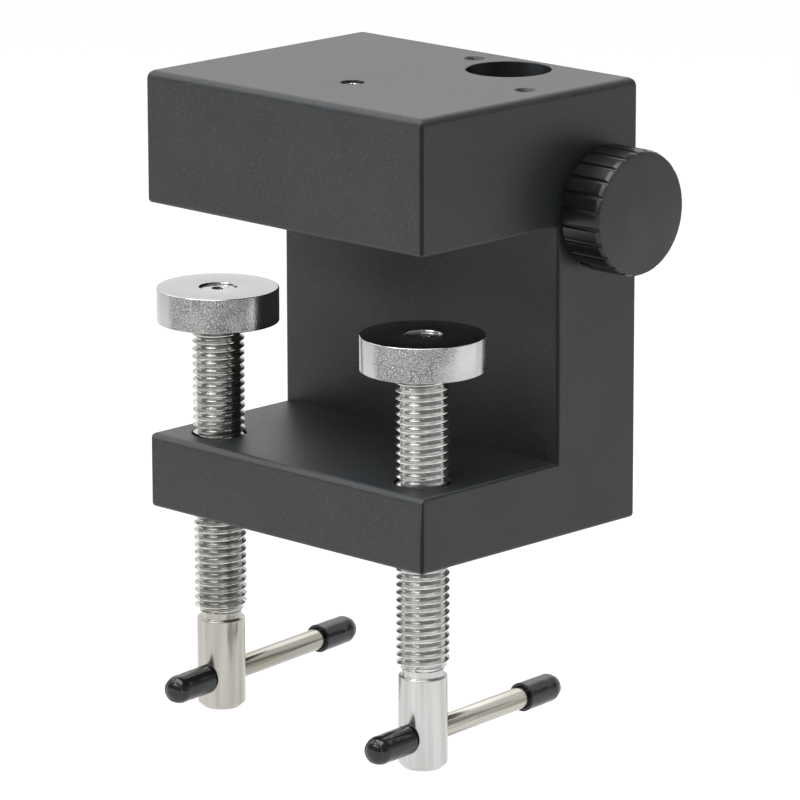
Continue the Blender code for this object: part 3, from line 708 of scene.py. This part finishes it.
def thread_tree():
    tree, given = new_geometry_tree("screw_thread", {
        "Crest Radius": "Float", "Depth": "Float", "Pitch": "Float", "Length": "Float", "Chamfer": "Float",
        "Start": "Float", "Steps": "Int", "Material": "Material",
    })
    across = len(THREAD_CORNERS["depth"]) - 1

    # A flat grid has a row for each step of the thread, and a column for each corner of its profile
    turns = calculate("ADD", calculate("DIVIDE", given["Length"], given["Pitch"]), PRESSED_TURNS)
    rows = calculate("CEIL", calculate("MULTIPLY", turns, given["Steps"]))
    grid = add_node(tree, "GeometryNodeMeshGrid", {
        "Size X": rows, "Size Y": float(across), "Vertices X": calculate("ADD", rows, 1.0),
        "Vertices Y": across + 1,
    }).outputs["Mesh"]

    # Where a point lies on the grid gives its turn, and its share of the pitch and of the depth
    position = add_node(tree, "GeometryNodeInputPosition").outputs[0]
    place = add_node(tree, "ShaderNodeSeparateXYZ", {0: position}).outputs
    row = calculate("ADD", place["X"], calculate("MULTIPLY", rows, 0.5))
    turn = calculate("DIVIDE", calculate("ROUND", row), given["Steps"])
    column = calculate("ROUND", calculate("ADD", place["Y"], across / 2))
    share = picked(tree, column, THREAD_CORNERS["share of the pitch"])
    sunk = calculate("MULTIPLY", picked(tree, column, THREAD_CORNERS["depth"]), given["Depth"])

    # The height climbs with the turn and is held inside the length, and a cone at each end trims the radius
    climbed = calculate("ADD", calculate("ADD", turn, share), given["Start"])
    height = calculate("MULTIPLY", calculate("SUBTRACT", climbed, PRESSED_TURNS), given["Pitch"])
    held = add_node(tree, "ShaderNodeClamp", {"Value": height, "Min": 0.0, "Max": given["Length"]})
    kept = held.outputs[0]
    to_end = calculate("MINIMUM", kept, calculate("SUBTRACT", given["Length"], kept))
    cone = calculate("ADD", calculate("SUBTRACT", given["Crest Radius"], given["Chamfer"]), to_end)
    radius = calculate("MINIMUM", calculate("SUBTRACT", given["Crest Radius"], sunk), cone)

    # Radius, turn and height are bent round the axis, and what then lies together is merged
    angle = calculate("MULTIPLY", turn, math.tau)
    bent = add_node(tree, "ShaderNodeCombineXYZ", {
        "X": calculate("MULTIPLY", radius, calculate("COSINE", angle)),
        "Y": calculate("MULTIPLY", radius, calculate("SINE", angle)),
        "Z": kept,
    }).outputs[0]
    moved = add_node(tree, "GeometryNodeSetPosition", {"Geometry": grid, "Position": bent}).outputs[0]
    merged = add_node(tree, "GeometryNodeMergeByDistance", {"Geometry": moved, "Distance": MERGE})
    finish_tree(tree, merged.outputs[0], given["Material"])
    return tree


THREAD_TREE = thread_tree()
print("thread tree with", len(THREAD_TREE.nodes), "nodes")

# %% [markdown]
# ## Threads with turned ends
#
# A real screw is one bar: its thread runs into turned ends without a joint. Here the ends are spun with as
# many steps as the thread's end rings have, so their points meet and can be welded. A count of the open
# edges, which must come to nothing, proves that the skin is closed.

# %% Threads with turned ends


def threaded(name, thread, foot, finish, above, below, steps):
    """A thread that stands on foot, with turned ends welded to its rings, as a bmesh."""
    mesh = grown(name, THREAD_TREE, {**thread, "Steps": steps, "Material": finish})
    mesh.transform(Matrix.Translation((0.0, 0.0, foot)))
    work = bmesh.new()
    work.from_mesh(mesh)
    for profile in (above, below):
        work.from_mesh(mesh_of(name, spun(profile, steps=steps)))
    bmesh.ops.remove_doubles(work, verts=work.verts, dist=MERGE)
    bmesh.ops.dissolve_degenerate(work, dist=MERGE, edges=work.edges)
    bmesh.ops.recalc_face_normals(work, faces=work.faces)
    open_edges = sum(not edge.is_manifold for edge in work.edges)
    print(name, "has", len(work.faces), "faces and", open_edges, "open edges")
    return work


# %% [markdown]
# ## The block
#
# The block is one milled piece. Its CAD mesh has the right form, down to the rounded edges, but it arrives
# as loose triangles with a crease at each. A copy is welded and its flat faces are joined again, and the
# two small holes in its top get the thread that a screw of the arm's bracket needs. The lower arm's front
# edge is broken wider on the real block than the CAD model has it, which shows as an even band of light.
# Three bars set askew cut that band: one makes its flat, and the others ease it into the faces on both
# sides. A Weighted Normal modifier then lets the big flat faces stay flat while the narrow edges between
# them shade smoothly.

# %% The block
FIXING_HOLES = (Vector((0.0009, 0.0387)), Vector((0.0349, 0.0188)))
FIXING_THREAD = {"Crest Radius": 0.0020, "Depth": 0.00036, "Pitch": 0.0007, "Length": 0.0108,
                 "Chamfer": 0.0004, "Start": 0.0}
FIXING_MOUTH = 0.0004
FIXING_STEPS = 48
ARM_TOP = -0.053
ARM_FLAT = 0.00115
ARM_EASE = 0.0003
CUTTER_SIZE = 0.004
LOWER_EASE_TILT = math.radians(22.5)
ARM_FLAT_TILT = math.radians(45)
UPPER_EASE_TILT = math.radians(67.5)
FLAT_FACE_ANGLE = math.radians(0.4)


def edge_bar(name, low, high, place, tilt):
    """A bar across the block. Its lower face passes through the place (y, z), tilted from the front."""
    facing = Vector((0.0, -math.cos(tilt), math.sin(tilt)))
    centre = Vector(((low.x + high.x) / 2, *place)) + facing * CUTTER_SIZE / 2
    work = bmesh.new()
    bmesh.ops.create_cube(work, size=1.0)
    bmesh.ops.scale(work, vec=(high.x - low.x + CUTTER_SIZE, CUTTER_SIZE, CUTTER_SIZE), verts=work.verts)
    turn = Matrix.Rotation(math.pi / 2 - tilt, 4, "X")
    return new_piece(name, work, POWDER_COAT, Matrix.Translation(centre) @ turn)


def arm_edge_bars(low, high):
    """The three bars that break the lower arm's front edge."""
    wide = ARM_FLAT + ARM_EASE
    return [edge_bar("lower_ease", low, high, (low.y, ARM_TOP - wide), LOWER_EASE_TILT),
            edge_bar("flat", low, high, (low.y, ARM_TOP - ARM_FLAT), ARM_FLAT_TILT),
            edge_bar("upper_ease", low, high, (low.y + wide, ARM_TOP), UPPER_EASE_TILT)]


def fixing_tap(name, place, top):
    """The form that a tap leaves in a fixing hole."""
    tip = FIXING_THREAD["Crest Radius"] - FIXING_THREAD["Chamfer"]
    head = top - FIXING_MOUTH
    foot = head - FIXING_THREAD["Length"]
    above = [(0.0, head), (tip, head)]
    below = [(tip, foot), (0.0, foot)]
    work = threaded(name, FIXING_THREAD, foot, POWDER_COAT, above, below, FIXING_STEPS)
    return new_piece(name, work, POWDER_COAT, Matrix.Translation((place.x, place.y, 0.0)))


def clean_copy(node, name, finish):
    """A welded copy of a CAD node, with its flat faces in one piece again."""
    work = bmesh.new()
    work.from_mesh(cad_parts[node].data)
    bmesh.ops.remove_doubles(work, verts=work.verts, dist=MERGE)
    bmesh.ops.dissolve_limit(work, angle_limit=FLAT_FACE_ANGLE, verts=work.verts, edges=work.edges)
    return new_piece(name, work, finish)


block = clean_copy("clamp_body", "coated_block", POWDER_COAT)
block_low, block_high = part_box("clamp_body")
cut(block, *arm_edge_bars(block_low, block_high))
cut(block, *[fixing_tap(f"tap_{k}", place, block_high.z) for k, place in enumerate(FIXING_HOLES)])
weigh = block.modifiers.new("flat_faces_first", "WEIGHTED_NORMAL")
weigh.keep_sharp = True
dress(block, "frame", "black_powder_coat", "clamp_body")

# %% [markdown]
# ## Sockets and small screws
#
# The set screw in the jaw and the two screws that hold the pads are driven by a hexagon key. A socket is
# only a six-sided hole, so a six-sided cylinder cuts it, and a cone breaks the edge round its mouth. On the
# set screw the cone hardly touches, which leaves two glints. The pads' screws sit in a countersink just
# below the face.

# %% Sockets and small screws
KEY_SIZE = 0.0025
SOCKET_RADIUS = KEY_SIZE / 2 / math.cos(math.pi / 6)
LEAD_RISE = 0.001
LEAD_DROP = 0.0004
SET_SCREW_LEAD = -0.00004
SET_SCREW_TURN = math.radians(-16)
SET_SCREW_SOCKET_DEPTH = 0.0028
SET_SCREW_CHAMFER = 0.0004
PAD_SCREW_LEAD = 0.0001
PAD_SCREW_SOCKET_DEPTH = 0.0014
PAD_SCREW_CONE = 0.00175
PAD_SCREW_RIM = 0.0003


def hexagon_key(name, place, depth, turn=0.0):
    """A six-sided cutter that goes down from the place."""
    work = bmesh.new()
    bmesh.ops.create_cone(work, cap_ends=True, segments=6, radius1=SOCKET_RADIUS, radius2=SOCKET_RADIUS,
                          depth=2 * depth)
    return new_piece(name, work, TURNED_STEEL, Matrix.Translation(place) @ Matrix.Rotation(turn, 4, "Z"))


def socket_lead(name, place, lead):
    """A cone that breaks the edge of a socket's mouth. Its lead is how far it reaches past the corners."""
    foot = -LEAD_DROP - lead
    flare = [(0.0, LEAD_RISE), (SOCKET_RADIUS + LEAD_RISE + lead, LEAD_RISE),
             (SOCKET_RADIUS - LEAD_DROP, foot), (0.0, foot)]
    return new_piece(name, spun(flare, steps=SMALL_STEPS), TURNED_STEEL, Matrix.Translation(place))


def middle(node):
    """The middle of a CAD node's box."""
    low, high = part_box(node)
    return (low + high) / 2


def top_of(node):
    """The middle of the top face of a CAD node's box."""
    centre = middle(node)
    return Vector((centre.x, centre.y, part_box(node)[1].z))


def jaw_set_screw():
    low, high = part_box("jaw_set_screw")
    radius = (high.x - low.x) / 2
    length = high.z - low.z
    tip = radius - SET_SCREW_CHAMFER
    profile = [
        (0.0, 0.0), (tip, 0.0, FINE_EDGE), (radius, -SET_SCREW_CHAMFER, FINE_EDGE),
        (radius, SET_SCREW_CHAMFER - length), (tip, -length), (0.0, -length),
    ]
    top = top_of("jaw_set_screw")
    work = spun(profile, steps=SMALL_STEPS)
    screw = new_piece("socket_set_screw", work, TURNED_STEEL, Matrix.Translation(top))
    cut(screw, hexagon_key("key", top, SET_SCREW_SOCKET_DEPTH, SET_SCREW_TURN),
        socket_lead("lead", top, SET_SCREW_LEAD))
    dress(screw, "frame", "satin_steel", "jaw_set_screw")


def pad_holding_screw(side):
    low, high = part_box(f"pad_screw_{side}")
    head = (high.x - low.x) / 2
    shank = head - PAD_SCREW_CONE
    length = high.z - low.z
    profile = [
        (0.0, 0.0), (head, 0.0, SOFT_EDGE), (head, -PAD_SCREW_RIM, CRISP_EDGE),
        (shank, -PAD_SCREW_RIM - (head - shank)), (shank, PAD_SCREW_RIM - length),
        (shank - PAD_SCREW_RIM, -length), (0.0, -length),
    ]
    top = top_of(f"pad_screw_{side}")
    work = spun(profile, steps=SMALL_STEPS)
    screw = new_piece(f"countersunk_screw_{side}", work, TURNED_STEEL, Matrix.Translation(top))
    cut(screw, hexagon_key("key", top, PAD_SCREW_SOCKET_DEPTH), socket_lead("lead", top, PAD_SCREW_LEAD))
    dress(screw, f"{side}_screw", "satin_steel", f"pad_screw_{side}")


jaw_set_screw()
for side in SIDES:
    pad_holding_screw(side)

# %% [markdown]
# ## Pressure pads
#
# A pad is a thick disc that turns freely on its spindle. The lathe makes it in one closed profile: the flat
# face, the rim, the underside, and back up inside through the spindle's bore and the countersink. Its two
# outer edges are eased by about a quarter of a millimetre, which draws a bright line round the pad's top.
# The faces of the rim, found by their distance from the axis, take the tumbled finish.

# %% Pressure pads
PAD_EDGE = 0.00026
PAD_BORE_RADIUS = 0.0048
PAD_HOLE_RADIUS = 0.0023
PAD_MOUTH_RADIUS = 0.004174
PAD_MOUTH_TAPER = 0.00018
PAD_MOUTH_DEPTH = 0.00045
PAD_CONE_TOP = -0.0007
PAD_WEB = 0.0009
SIDEWAYS = 0.2


def pressure_pad(side):
    low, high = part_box(f"pad_{side}")
    radius = (high.x - low.x) / 2
    thickness = high.z - low.z
    cone_foot = PAD_CONE_TOP - (PAD_MOUTH_RADIUS - PAD_HOLE_RADIUS)
    profile = [
        (PAD_MOUTH_RADIUS, -PAD_MOUTH_DEPTH), (PAD_MOUTH_RADIUS + PAD_MOUTH_TAPER, 0.0, CRISP_EDGE),
        (radius, 0.0, PAD_EDGE), (radius, -thickness, PAD_EDGE),
        (PAD_BORE_RADIUS, -thickness, SOFT_EDGE), (PAD_BORE_RADIUS, cone_foot - PAD_WEB),
        (PAD_HOLE_RADIUS, cone_foot - PAD_WEB), (PAD_HOLE_RADIUS, cone_foot),
        (PAD_MOUTH_RADIUS, PAD_CONE_TOP),
    ]
    top = top_of(f"pad_{side}")
    work = spun(profile, closed=True, steps=2 * STEPS)
    pad = new_piece(f"pressure_pad_{side}", work, POLISHED_NICKEL, Matrix.Translation(top))
    pad.data.materials.append(TUMBLED_NICKEL)
    for face in pad.data.polygons:
        from_axis = (face.center - top).to_2d().length
        face.material_index = int(from_axis > radius - PAD_EDGE / 4 and abs(face.normal.z) < SIDEWAYS)
    dress(pad, f"{side}_pad", "nickel_plate", f"pad_{side}")


for side in SIDES:
    pressure_pad(side)

# %% [markdown]
# ## Clamp spindles
#
# Each spindle is one bar of steel: a spigot that carries the pad, 66.8 mm of M12 thread, an undercut neck,
# and a plain head with a cross hole for the tommy bar. The thread tree gives the middle, and the lathe
# gives both ends. Both meet in a ring of the same radius and the same steps, so that welding them leaves no
# seam. What lies above the neck takes the brighter rolled steel.

# %% Clamp spindles
M12_THREAD = {"Depth": 0.00104, "Pitch": 0.00175, "Length": 0.0668, "Chamfer": 0.0012}
THREAD_START = {"left": 0.0, "right": 0.08}
SPIGOT_RADIUS = 0.0045
NECK_RADIUS = 0.0046
NECK_LENGTH = 0.0017
HEAD_RADIUS = 0.00545
HEAD_LENGTH = 0.0210
HEAD_CHAMFER = 0.0012
HEAD_EDGE = 0.00025
CROSS_HOLE_HEIGHT = 0.0073
CROSS_HOLE_RADIUS = 0.0028
TAPPED_RADIUS = 0.0023
TAPPED_DEPTH = 0.0069


def along_bar(side):
    """Turns the Z axis to the tommy bar's long end."""
    return Euler((-math.pi / 2, 0.0, BAR_TURNS[side] - math.pi / 2)).to_matrix().to_4x4()


def cross_hole(side):
    """The place of a spindle's cross hole, with Z along the tommy bar's long end."""
    centre = middle(f"clamp_screw_{side}")
    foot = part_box(f"clamp_screw_{side}")[0].z
    return Matrix.Translation((centre.x, centre.y, foot + CROSS_HOLE_HEIGHT)) @ along_bar(side)


def clamp_spindle(side):
    low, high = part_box(f"clamp_screw_{side}")
    crest = (high.x - low.x) / 2
    ring = crest - M12_THREAD["Chamfer"]
    thread_foot = HEAD_LENGTH + NECK_LENGTH
    shoulder = thread_foot + M12_THREAD["Length"]
    spigot = high.z - low.z
    above = [
        (0.0, spigot - TAPPED_DEPTH), (TAPPED_RADIUS, spigot - TAPPED_DEPTH), (TAPPED_RADIUS, spigot),
        (SPIGOT_RADIUS, spigot, ROUND_EDGE), (SPIGOT_RADIUS, shoulder), (ring, shoulder),
    ]
    below = [
        (ring, thread_foot), (NECK_RADIUS, thread_foot, SOFT_EDGE),
        (NECK_RADIUS, HEAD_LENGTH, ROUND_EDGE), (HEAD_RADIUS, HEAD_LENGTH, HEAD_EDGE),
        (HEAD_RADIUS, HEAD_CHAMFER, FINE_EDGE), (HEAD_RADIUS - HEAD_CHAMFER, 0.0, FINE_EDGE),
        (0.0, 0.0),
    ]
    thread = {**M12_THREAD, "Crest Radius": crest, "Start": THREAD_START[side]}
    steel = HEAD_STEEL[side]
    work = threaded(f"spindle_{side}", thread, thread_foot, steel, above, below, STEPS)
    centre = middle(f"clamp_screw_{side}")
    place = Matrix.Translation((centre.x, centre.y, low.z))
    spindle = new_piece(f"clamp_spindle_{side}", work, steel, place)
    drill = bmesh.new()
    bmesh.ops.create_cone(drill, cap_ends=True, segments=SMALL_STEPS, radius1=CROSS_HOLE_RADIUS,
                          radius2=CROSS_HOLE_RADIUS, depth=4 * HEAD_RADIUS)
    cut(spindle, new_piece(f"drill_{side}", drill, steel, cross_hole(side)))
    spindle.data.materials.append(THREAD_STEEL[side])
    rolled = len(spindle.data.materials) - 1
    for face in spindle.data.polygons:
        face.material_index = rolled if face.center.z > low.z + thread_foot else 0
    dress(spindle, f"{side}_screw", "satin_steel", f"clamp_screw_{side}")


for side in SIDES:
    clamp_spindle(side)

# %% [markdown]
# ## Tommy bars and their caps
#
# A tommy bar is a plain rod, a loose fit in the head. The caps on its ends were dipped over a mould, which
# leaves the end a little flatter than a ball, a faint waist where the dome begins and a thin flare at the
# rim. The front cap lies just short of the head, where it stops the bar.

# %% Tommy bars and their caps
FIT_GAP = 0.0003
BAR_RADIUS = 0.0025
BAR_LENGTH = 0.0637
BAR_STEPS = 96
CAP_LENGTH = 0.0123
CAP_RADIUS = 0.00325
CAP_BORE = 0.00256
CAP_ROOF = 0.0115
CAP_WAIST = 0.00007
CAP_FLARE = 0.00005
CAP_RIM_EASE = 0.00025
FLARE_HEIGHT = 0.0016
FLARE_EASE = 0.0010
WAIST_BELOW_DOME = 0.0008
WAIST_FOOT_BELOW_DOME = 0.0028
WAIST_EASE = 0.0007
WAIST_FOOT_EASE = 0.0009
DOME_FULLNESS = 0.86
DOME_STEP = 7.5
BAR_IN_CAP = 0.0113


def tommy_bar(side, foot):
    profile = [(0.0, BAR_LENGTH), (BAR_RADIUS, BAR_LENGTH, BLUNT_EDGE), (BAR_RADIUS, 0.0, BLUNT_EDGE),
               (0.0, 0.0)]
    place = cross_hole(side) @ Matrix.Translation((0.0, 0.0, foot))
    bar = new_piece(f"nickel_bar_{side}", spun(profile, steps=BAR_STEPS), DRAWN_NICKEL[side], place)
    dress(bar, f"{side}_bar", "nickel_plate", f"tommy_bar_{side}")


def vinyl_cap(side, end, rim, turn):
    """A cap with its rim at this distance along the bar, and its dome outwards after the turn."""
    dome_foot = CAP_LENGTH - CAP_RADIUS
    quarter = [math.radians(DOME_STEP * k) for k in range(round(90 / DOME_STEP))]
    dome = [(CAP_RADIUS * math.sin(turned) ** DOME_FULLNESS,
             dome_foot + CAP_RADIUS * math.cos(turned) ** DOME_FULLNESS) for turned in quarter]
    profile = dome + [
        (CAP_RADIUS - CAP_WAIST, dome_foot - WAIST_BELOW_DOME, WAIST_EASE),
        (CAP_RADIUS, dome_foot - WAIST_FOOT_BELOW_DOME, WAIST_FOOT_EASE),
        (CAP_RADIUS, FLARE_HEIGHT, FLARE_EASE), (CAP_RADIUS + CAP_FLARE, 0.0, CAP_RIM_EASE),
        (CAP_BORE, 0.0, FINE_EDGE), (CAP_BORE, CAP_ROOF), (0.0, CAP_ROOF),
    ]
    place = cross_hole(side) @ Matrix.Translation((0.0, 0.0, rim)) @ Matrix.Rotation(turn, 4, "X")
    cap = new_piece(f"vinyl_cap_{side}_{end}", spun(profile, steps=BAR_STEPS), DIPPED_VINYL, place)
    dress(cap, f"{side}_bar", "black_vinyl", f"bar_cap_{side}_{end}")


for side in SIDES:
    front_rim = -HEAD_RADIUS - FIT_GAP
    bar_foot = front_rim - BAR_IN_CAP
    tommy_bar(side, bar_foot)
    vinyl_cap(side, "front", front_rim, math.pi)
    vinyl_cap(side, "rear", bar_foot + BAR_LENGTH - BAR_IN_CAP, 0.0)

# %% [markdown]
# ## Flutes
#
# Narrow flutes run round the knob's rim to give fingers a hold. They repeat, so a second tree makes them:
# it sets one round cutter on each point of a circle and takes them all out of a turned blank. Placing the
# cutters by a loop would work too, but as a tree their number and their size stay two inputs.

# %% The flute tree
FLUTE_STEPS = 20


def flute_tree():
    tree, given = new_geometry_tree("flutes", {
        "Blank": "Geometry", "Flutes": "Int", "Flute Radius": "Float", "Reach": "Float", "Length": "Float",
        "Material": "Material",
    })
    cutter = add_node(tree, "GeometryNodeMeshCylinder", {
        "Vertices": FLUTE_STEPS, "Radius": given["Flute Radius"], "Depth": given["Length"],
    }).outputs["Mesh"]
    sizes = {"Vertices": given["Flutes"], "Radius": given["Reach"]}
    circle = add_node(tree, "GeometryNodeMeshCircle", sizes).outputs[0]
    placed = {"Points": circle, "Instance": cutter}
    cutters = add_node(tree, "GeometryNodeInstanceOnPoints", placed).outputs[0]
    fluted = add_node(tree, "GeometryNodeMeshBoolean", {"Mesh 1": given["Blank"], "Mesh 2": cutters},
                      operation="DIFFERENCE", solver="EXACT").outputs[0]
    finish_tree(tree, fluted, given["Material"])
    return tree


FLUTE_TREE = flute_tree()
print("flute tree with", len(FLUTE_TREE.nodes), "nodes")

# %% [markdown]
# ## Locking knob
#
# The knob is moulded: a disc with a slightly domed face and the flutes round its rim. The lathe turns the
# blank about the Z axis, and the fluted blank is then laid on its side against the block. A Bevel modifier
# breaks the edges of the lands between the flutes, whose front ends catch the light.

# %% Locking knob
FLUTES = 24
FLUTE_RADIUS = 0.00055
FLUTE_DEPTH = 0.00055
KNOB_RADIUS = 0.0140
KNOB_FACE_RADIUS = 0.0136
KNOB_FACE_DOME = 0.0004
KNOB_FACE_RINGS = 8
KNOB_FACE_EDGE = 0.00022
KNOB_RIM_EDGE = 0.00012
KNOB_BACK_CHAMFER = 0.0006
KNOB_STEPS = 192
KNOB_HUB_RADIUS = 0.0090
KNOB_GAP = 0.0009
KNOB_BACK = 0.0015
KNOB_RIM_FRONT = 0.0116
KNOB_FRONT = 0.0130
STUD_TOP = 0.0101
STUD_SEAT_RADIUS = 0.0041
STUD_SEAT_GAP = 0.0002
LAND_EDGE = 0.00009
LAND_EDGE_ANGLE = math.radians(50)


def knob_place():
    """The knob's axis where it meets the block's side, with Z outwards."""
    centre = middle("locking_knob")
    return Matrix.Translation((block_high.x, centre.y, centre.z)) @ Matrix.Rotation(math.pi / 2, 4, "Y")


def knob_blank():
    """The knob as it is before the flutes, as a mesh."""
    rings = [k / KNOB_FACE_RINGS for k in range(KNOB_FACE_RINGS)]
    face = [(KNOB_FACE_RADIUS * ring, KNOB_FRONT - KNOB_FACE_DOME * ring ** 2) for ring in rings]
    seat_top = STUD_TOP + STUD_SEAT_GAP
    profile = face + [
        (KNOB_FACE_RADIUS, KNOB_FRONT - KNOB_FACE_DOME, KNOB_FACE_EDGE),
        (KNOB_RADIUS, KNOB_RIM_FRONT, KNOB_RIM_EDGE), (KNOB_RADIUS, KNOB_BACK + KNOB_BACK_CHAMFER),
        (KNOB_RADIUS - KNOB_BACK_CHAMFER, KNOB_BACK), (KNOB_HUB_RADIUS, KNOB_BACK),
        (KNOB_HUB_RADIUS, KNOB_GAP), (STUD_SEAT_RADIUS, KNOB_GAP), (STUD_SEAT_RADIUS, seat_top),
        (0.0, seat_top),
    ]
    return mesh_of("knob_blank", spun(profile, steps=KNOB_STEPS))


def locking_knob():
    reach = KNOB_RADIUS - FLUTE_DEPTH + FLUTE_RADIUS
    fluted = grown("knob", FLUTE_TREE, {
        "Flutes": FLUTES, "Flute Radius": FLUTE_RADIUS, "Reach": reach, "Length": 4 * KNOB_FRONT,
        "Material": MOULDED_PLASTIC,
    }, knob_blank())
    work = bmesh.new()
    work.from_mesh(fluted)
    half_pitch = Matrix.Rotation(math.pi / FLUTES, 4, "Z")
    knob = new_piece("fluted_knob", work, MOULDED_PLASTIC, knob_place() @ half_pitch)
    edges = knob.modifiers.new("land_edges", "BEVEL")
    edges.width = LAND_EDGE
    edges.segments = 2
    edges.limit_method = "ANGLE"
    edges.angle_limit = LAND_EDGE_ANGLE
    settle(knob)
    dress(knob, "knob", "black_plastic", "locking_knob")


locking_knob()

# %% [markdown]
# ## Stud and brass tip
#
# The knob's stud is an ordinary M8 thread, so it comes from the same tree as the spindles, with other
# numbers. It is seen when the knob is unscrewed, together with the brass tip that presses on the post.

# %% Stud and brass tip
M8_THREAD = {"Crest Radius": 0.0039, "Depth": 0.00074, "Pitch": 0.00125, "Chamfer": 0.0009, "Start": 0.0}
STUD_STEPS = 96
TIP_PIN_RADIUS = 0.0014
TIP_PIN_LENGTH = 0.0030
TIP_LENGTH = 0.0022
TIP_SOCKET_RADIUS = 0.0016


def threaded_stud():
    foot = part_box("knob_stud")[0].x - block_high.x
    ring = M8_THREAD["Crest Radius"] - M8_THREAD["Chamfer"]
    above = [(0.0, STUD_TOP), (ring, STUD_TOP)]
    below = [(ring, foot), (TIP_SOCKET_RADIUS, foot), (TIP_SOCKET_RADIUS, foot + TIP_PIN_LENGTH),
             (0.0, foot + TIP_PIN_LENGTH)]
    thread = {**M8_THREAD, "Length": STUD_TOP - foot}
    work = threaded("stud", thread, foot, TURNED_STEEL, above, below, STUD_STEPS)
    stud = new_piece("threaded_stud", work, TURNED_STEEL, knob_place())
    dress(stud, "knob", "satin_steel", "knob_stud")


def brass_tip():
    low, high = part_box("lock_tip")
    radius = (high.y - low.y) / 2
    face = low.x - block_high.x
    shoulder = face + TIP_LENGTH
    profile = [
        (0.0, shoulder + TIP_PIN_LENGTH), (TIP_PIN_RADIUS, shoulder + TIP_PIN_LENGTH, SOFT_EDGE),
        (TIP_PIN_RADIUS, shoulder), (radius, shoulder, SOFT_EDGE), (radius, face, BLUNT_EDGE), (0.0, face),
    ]
    tip = new_piece("brass_tip", spun(profile, steps=SMALL_STEPS), TURNED_BRASS, knob_place())
    dress(tip, "lock_tip", "brass", "lock_tip")


threaded_stud()
brass_tip()
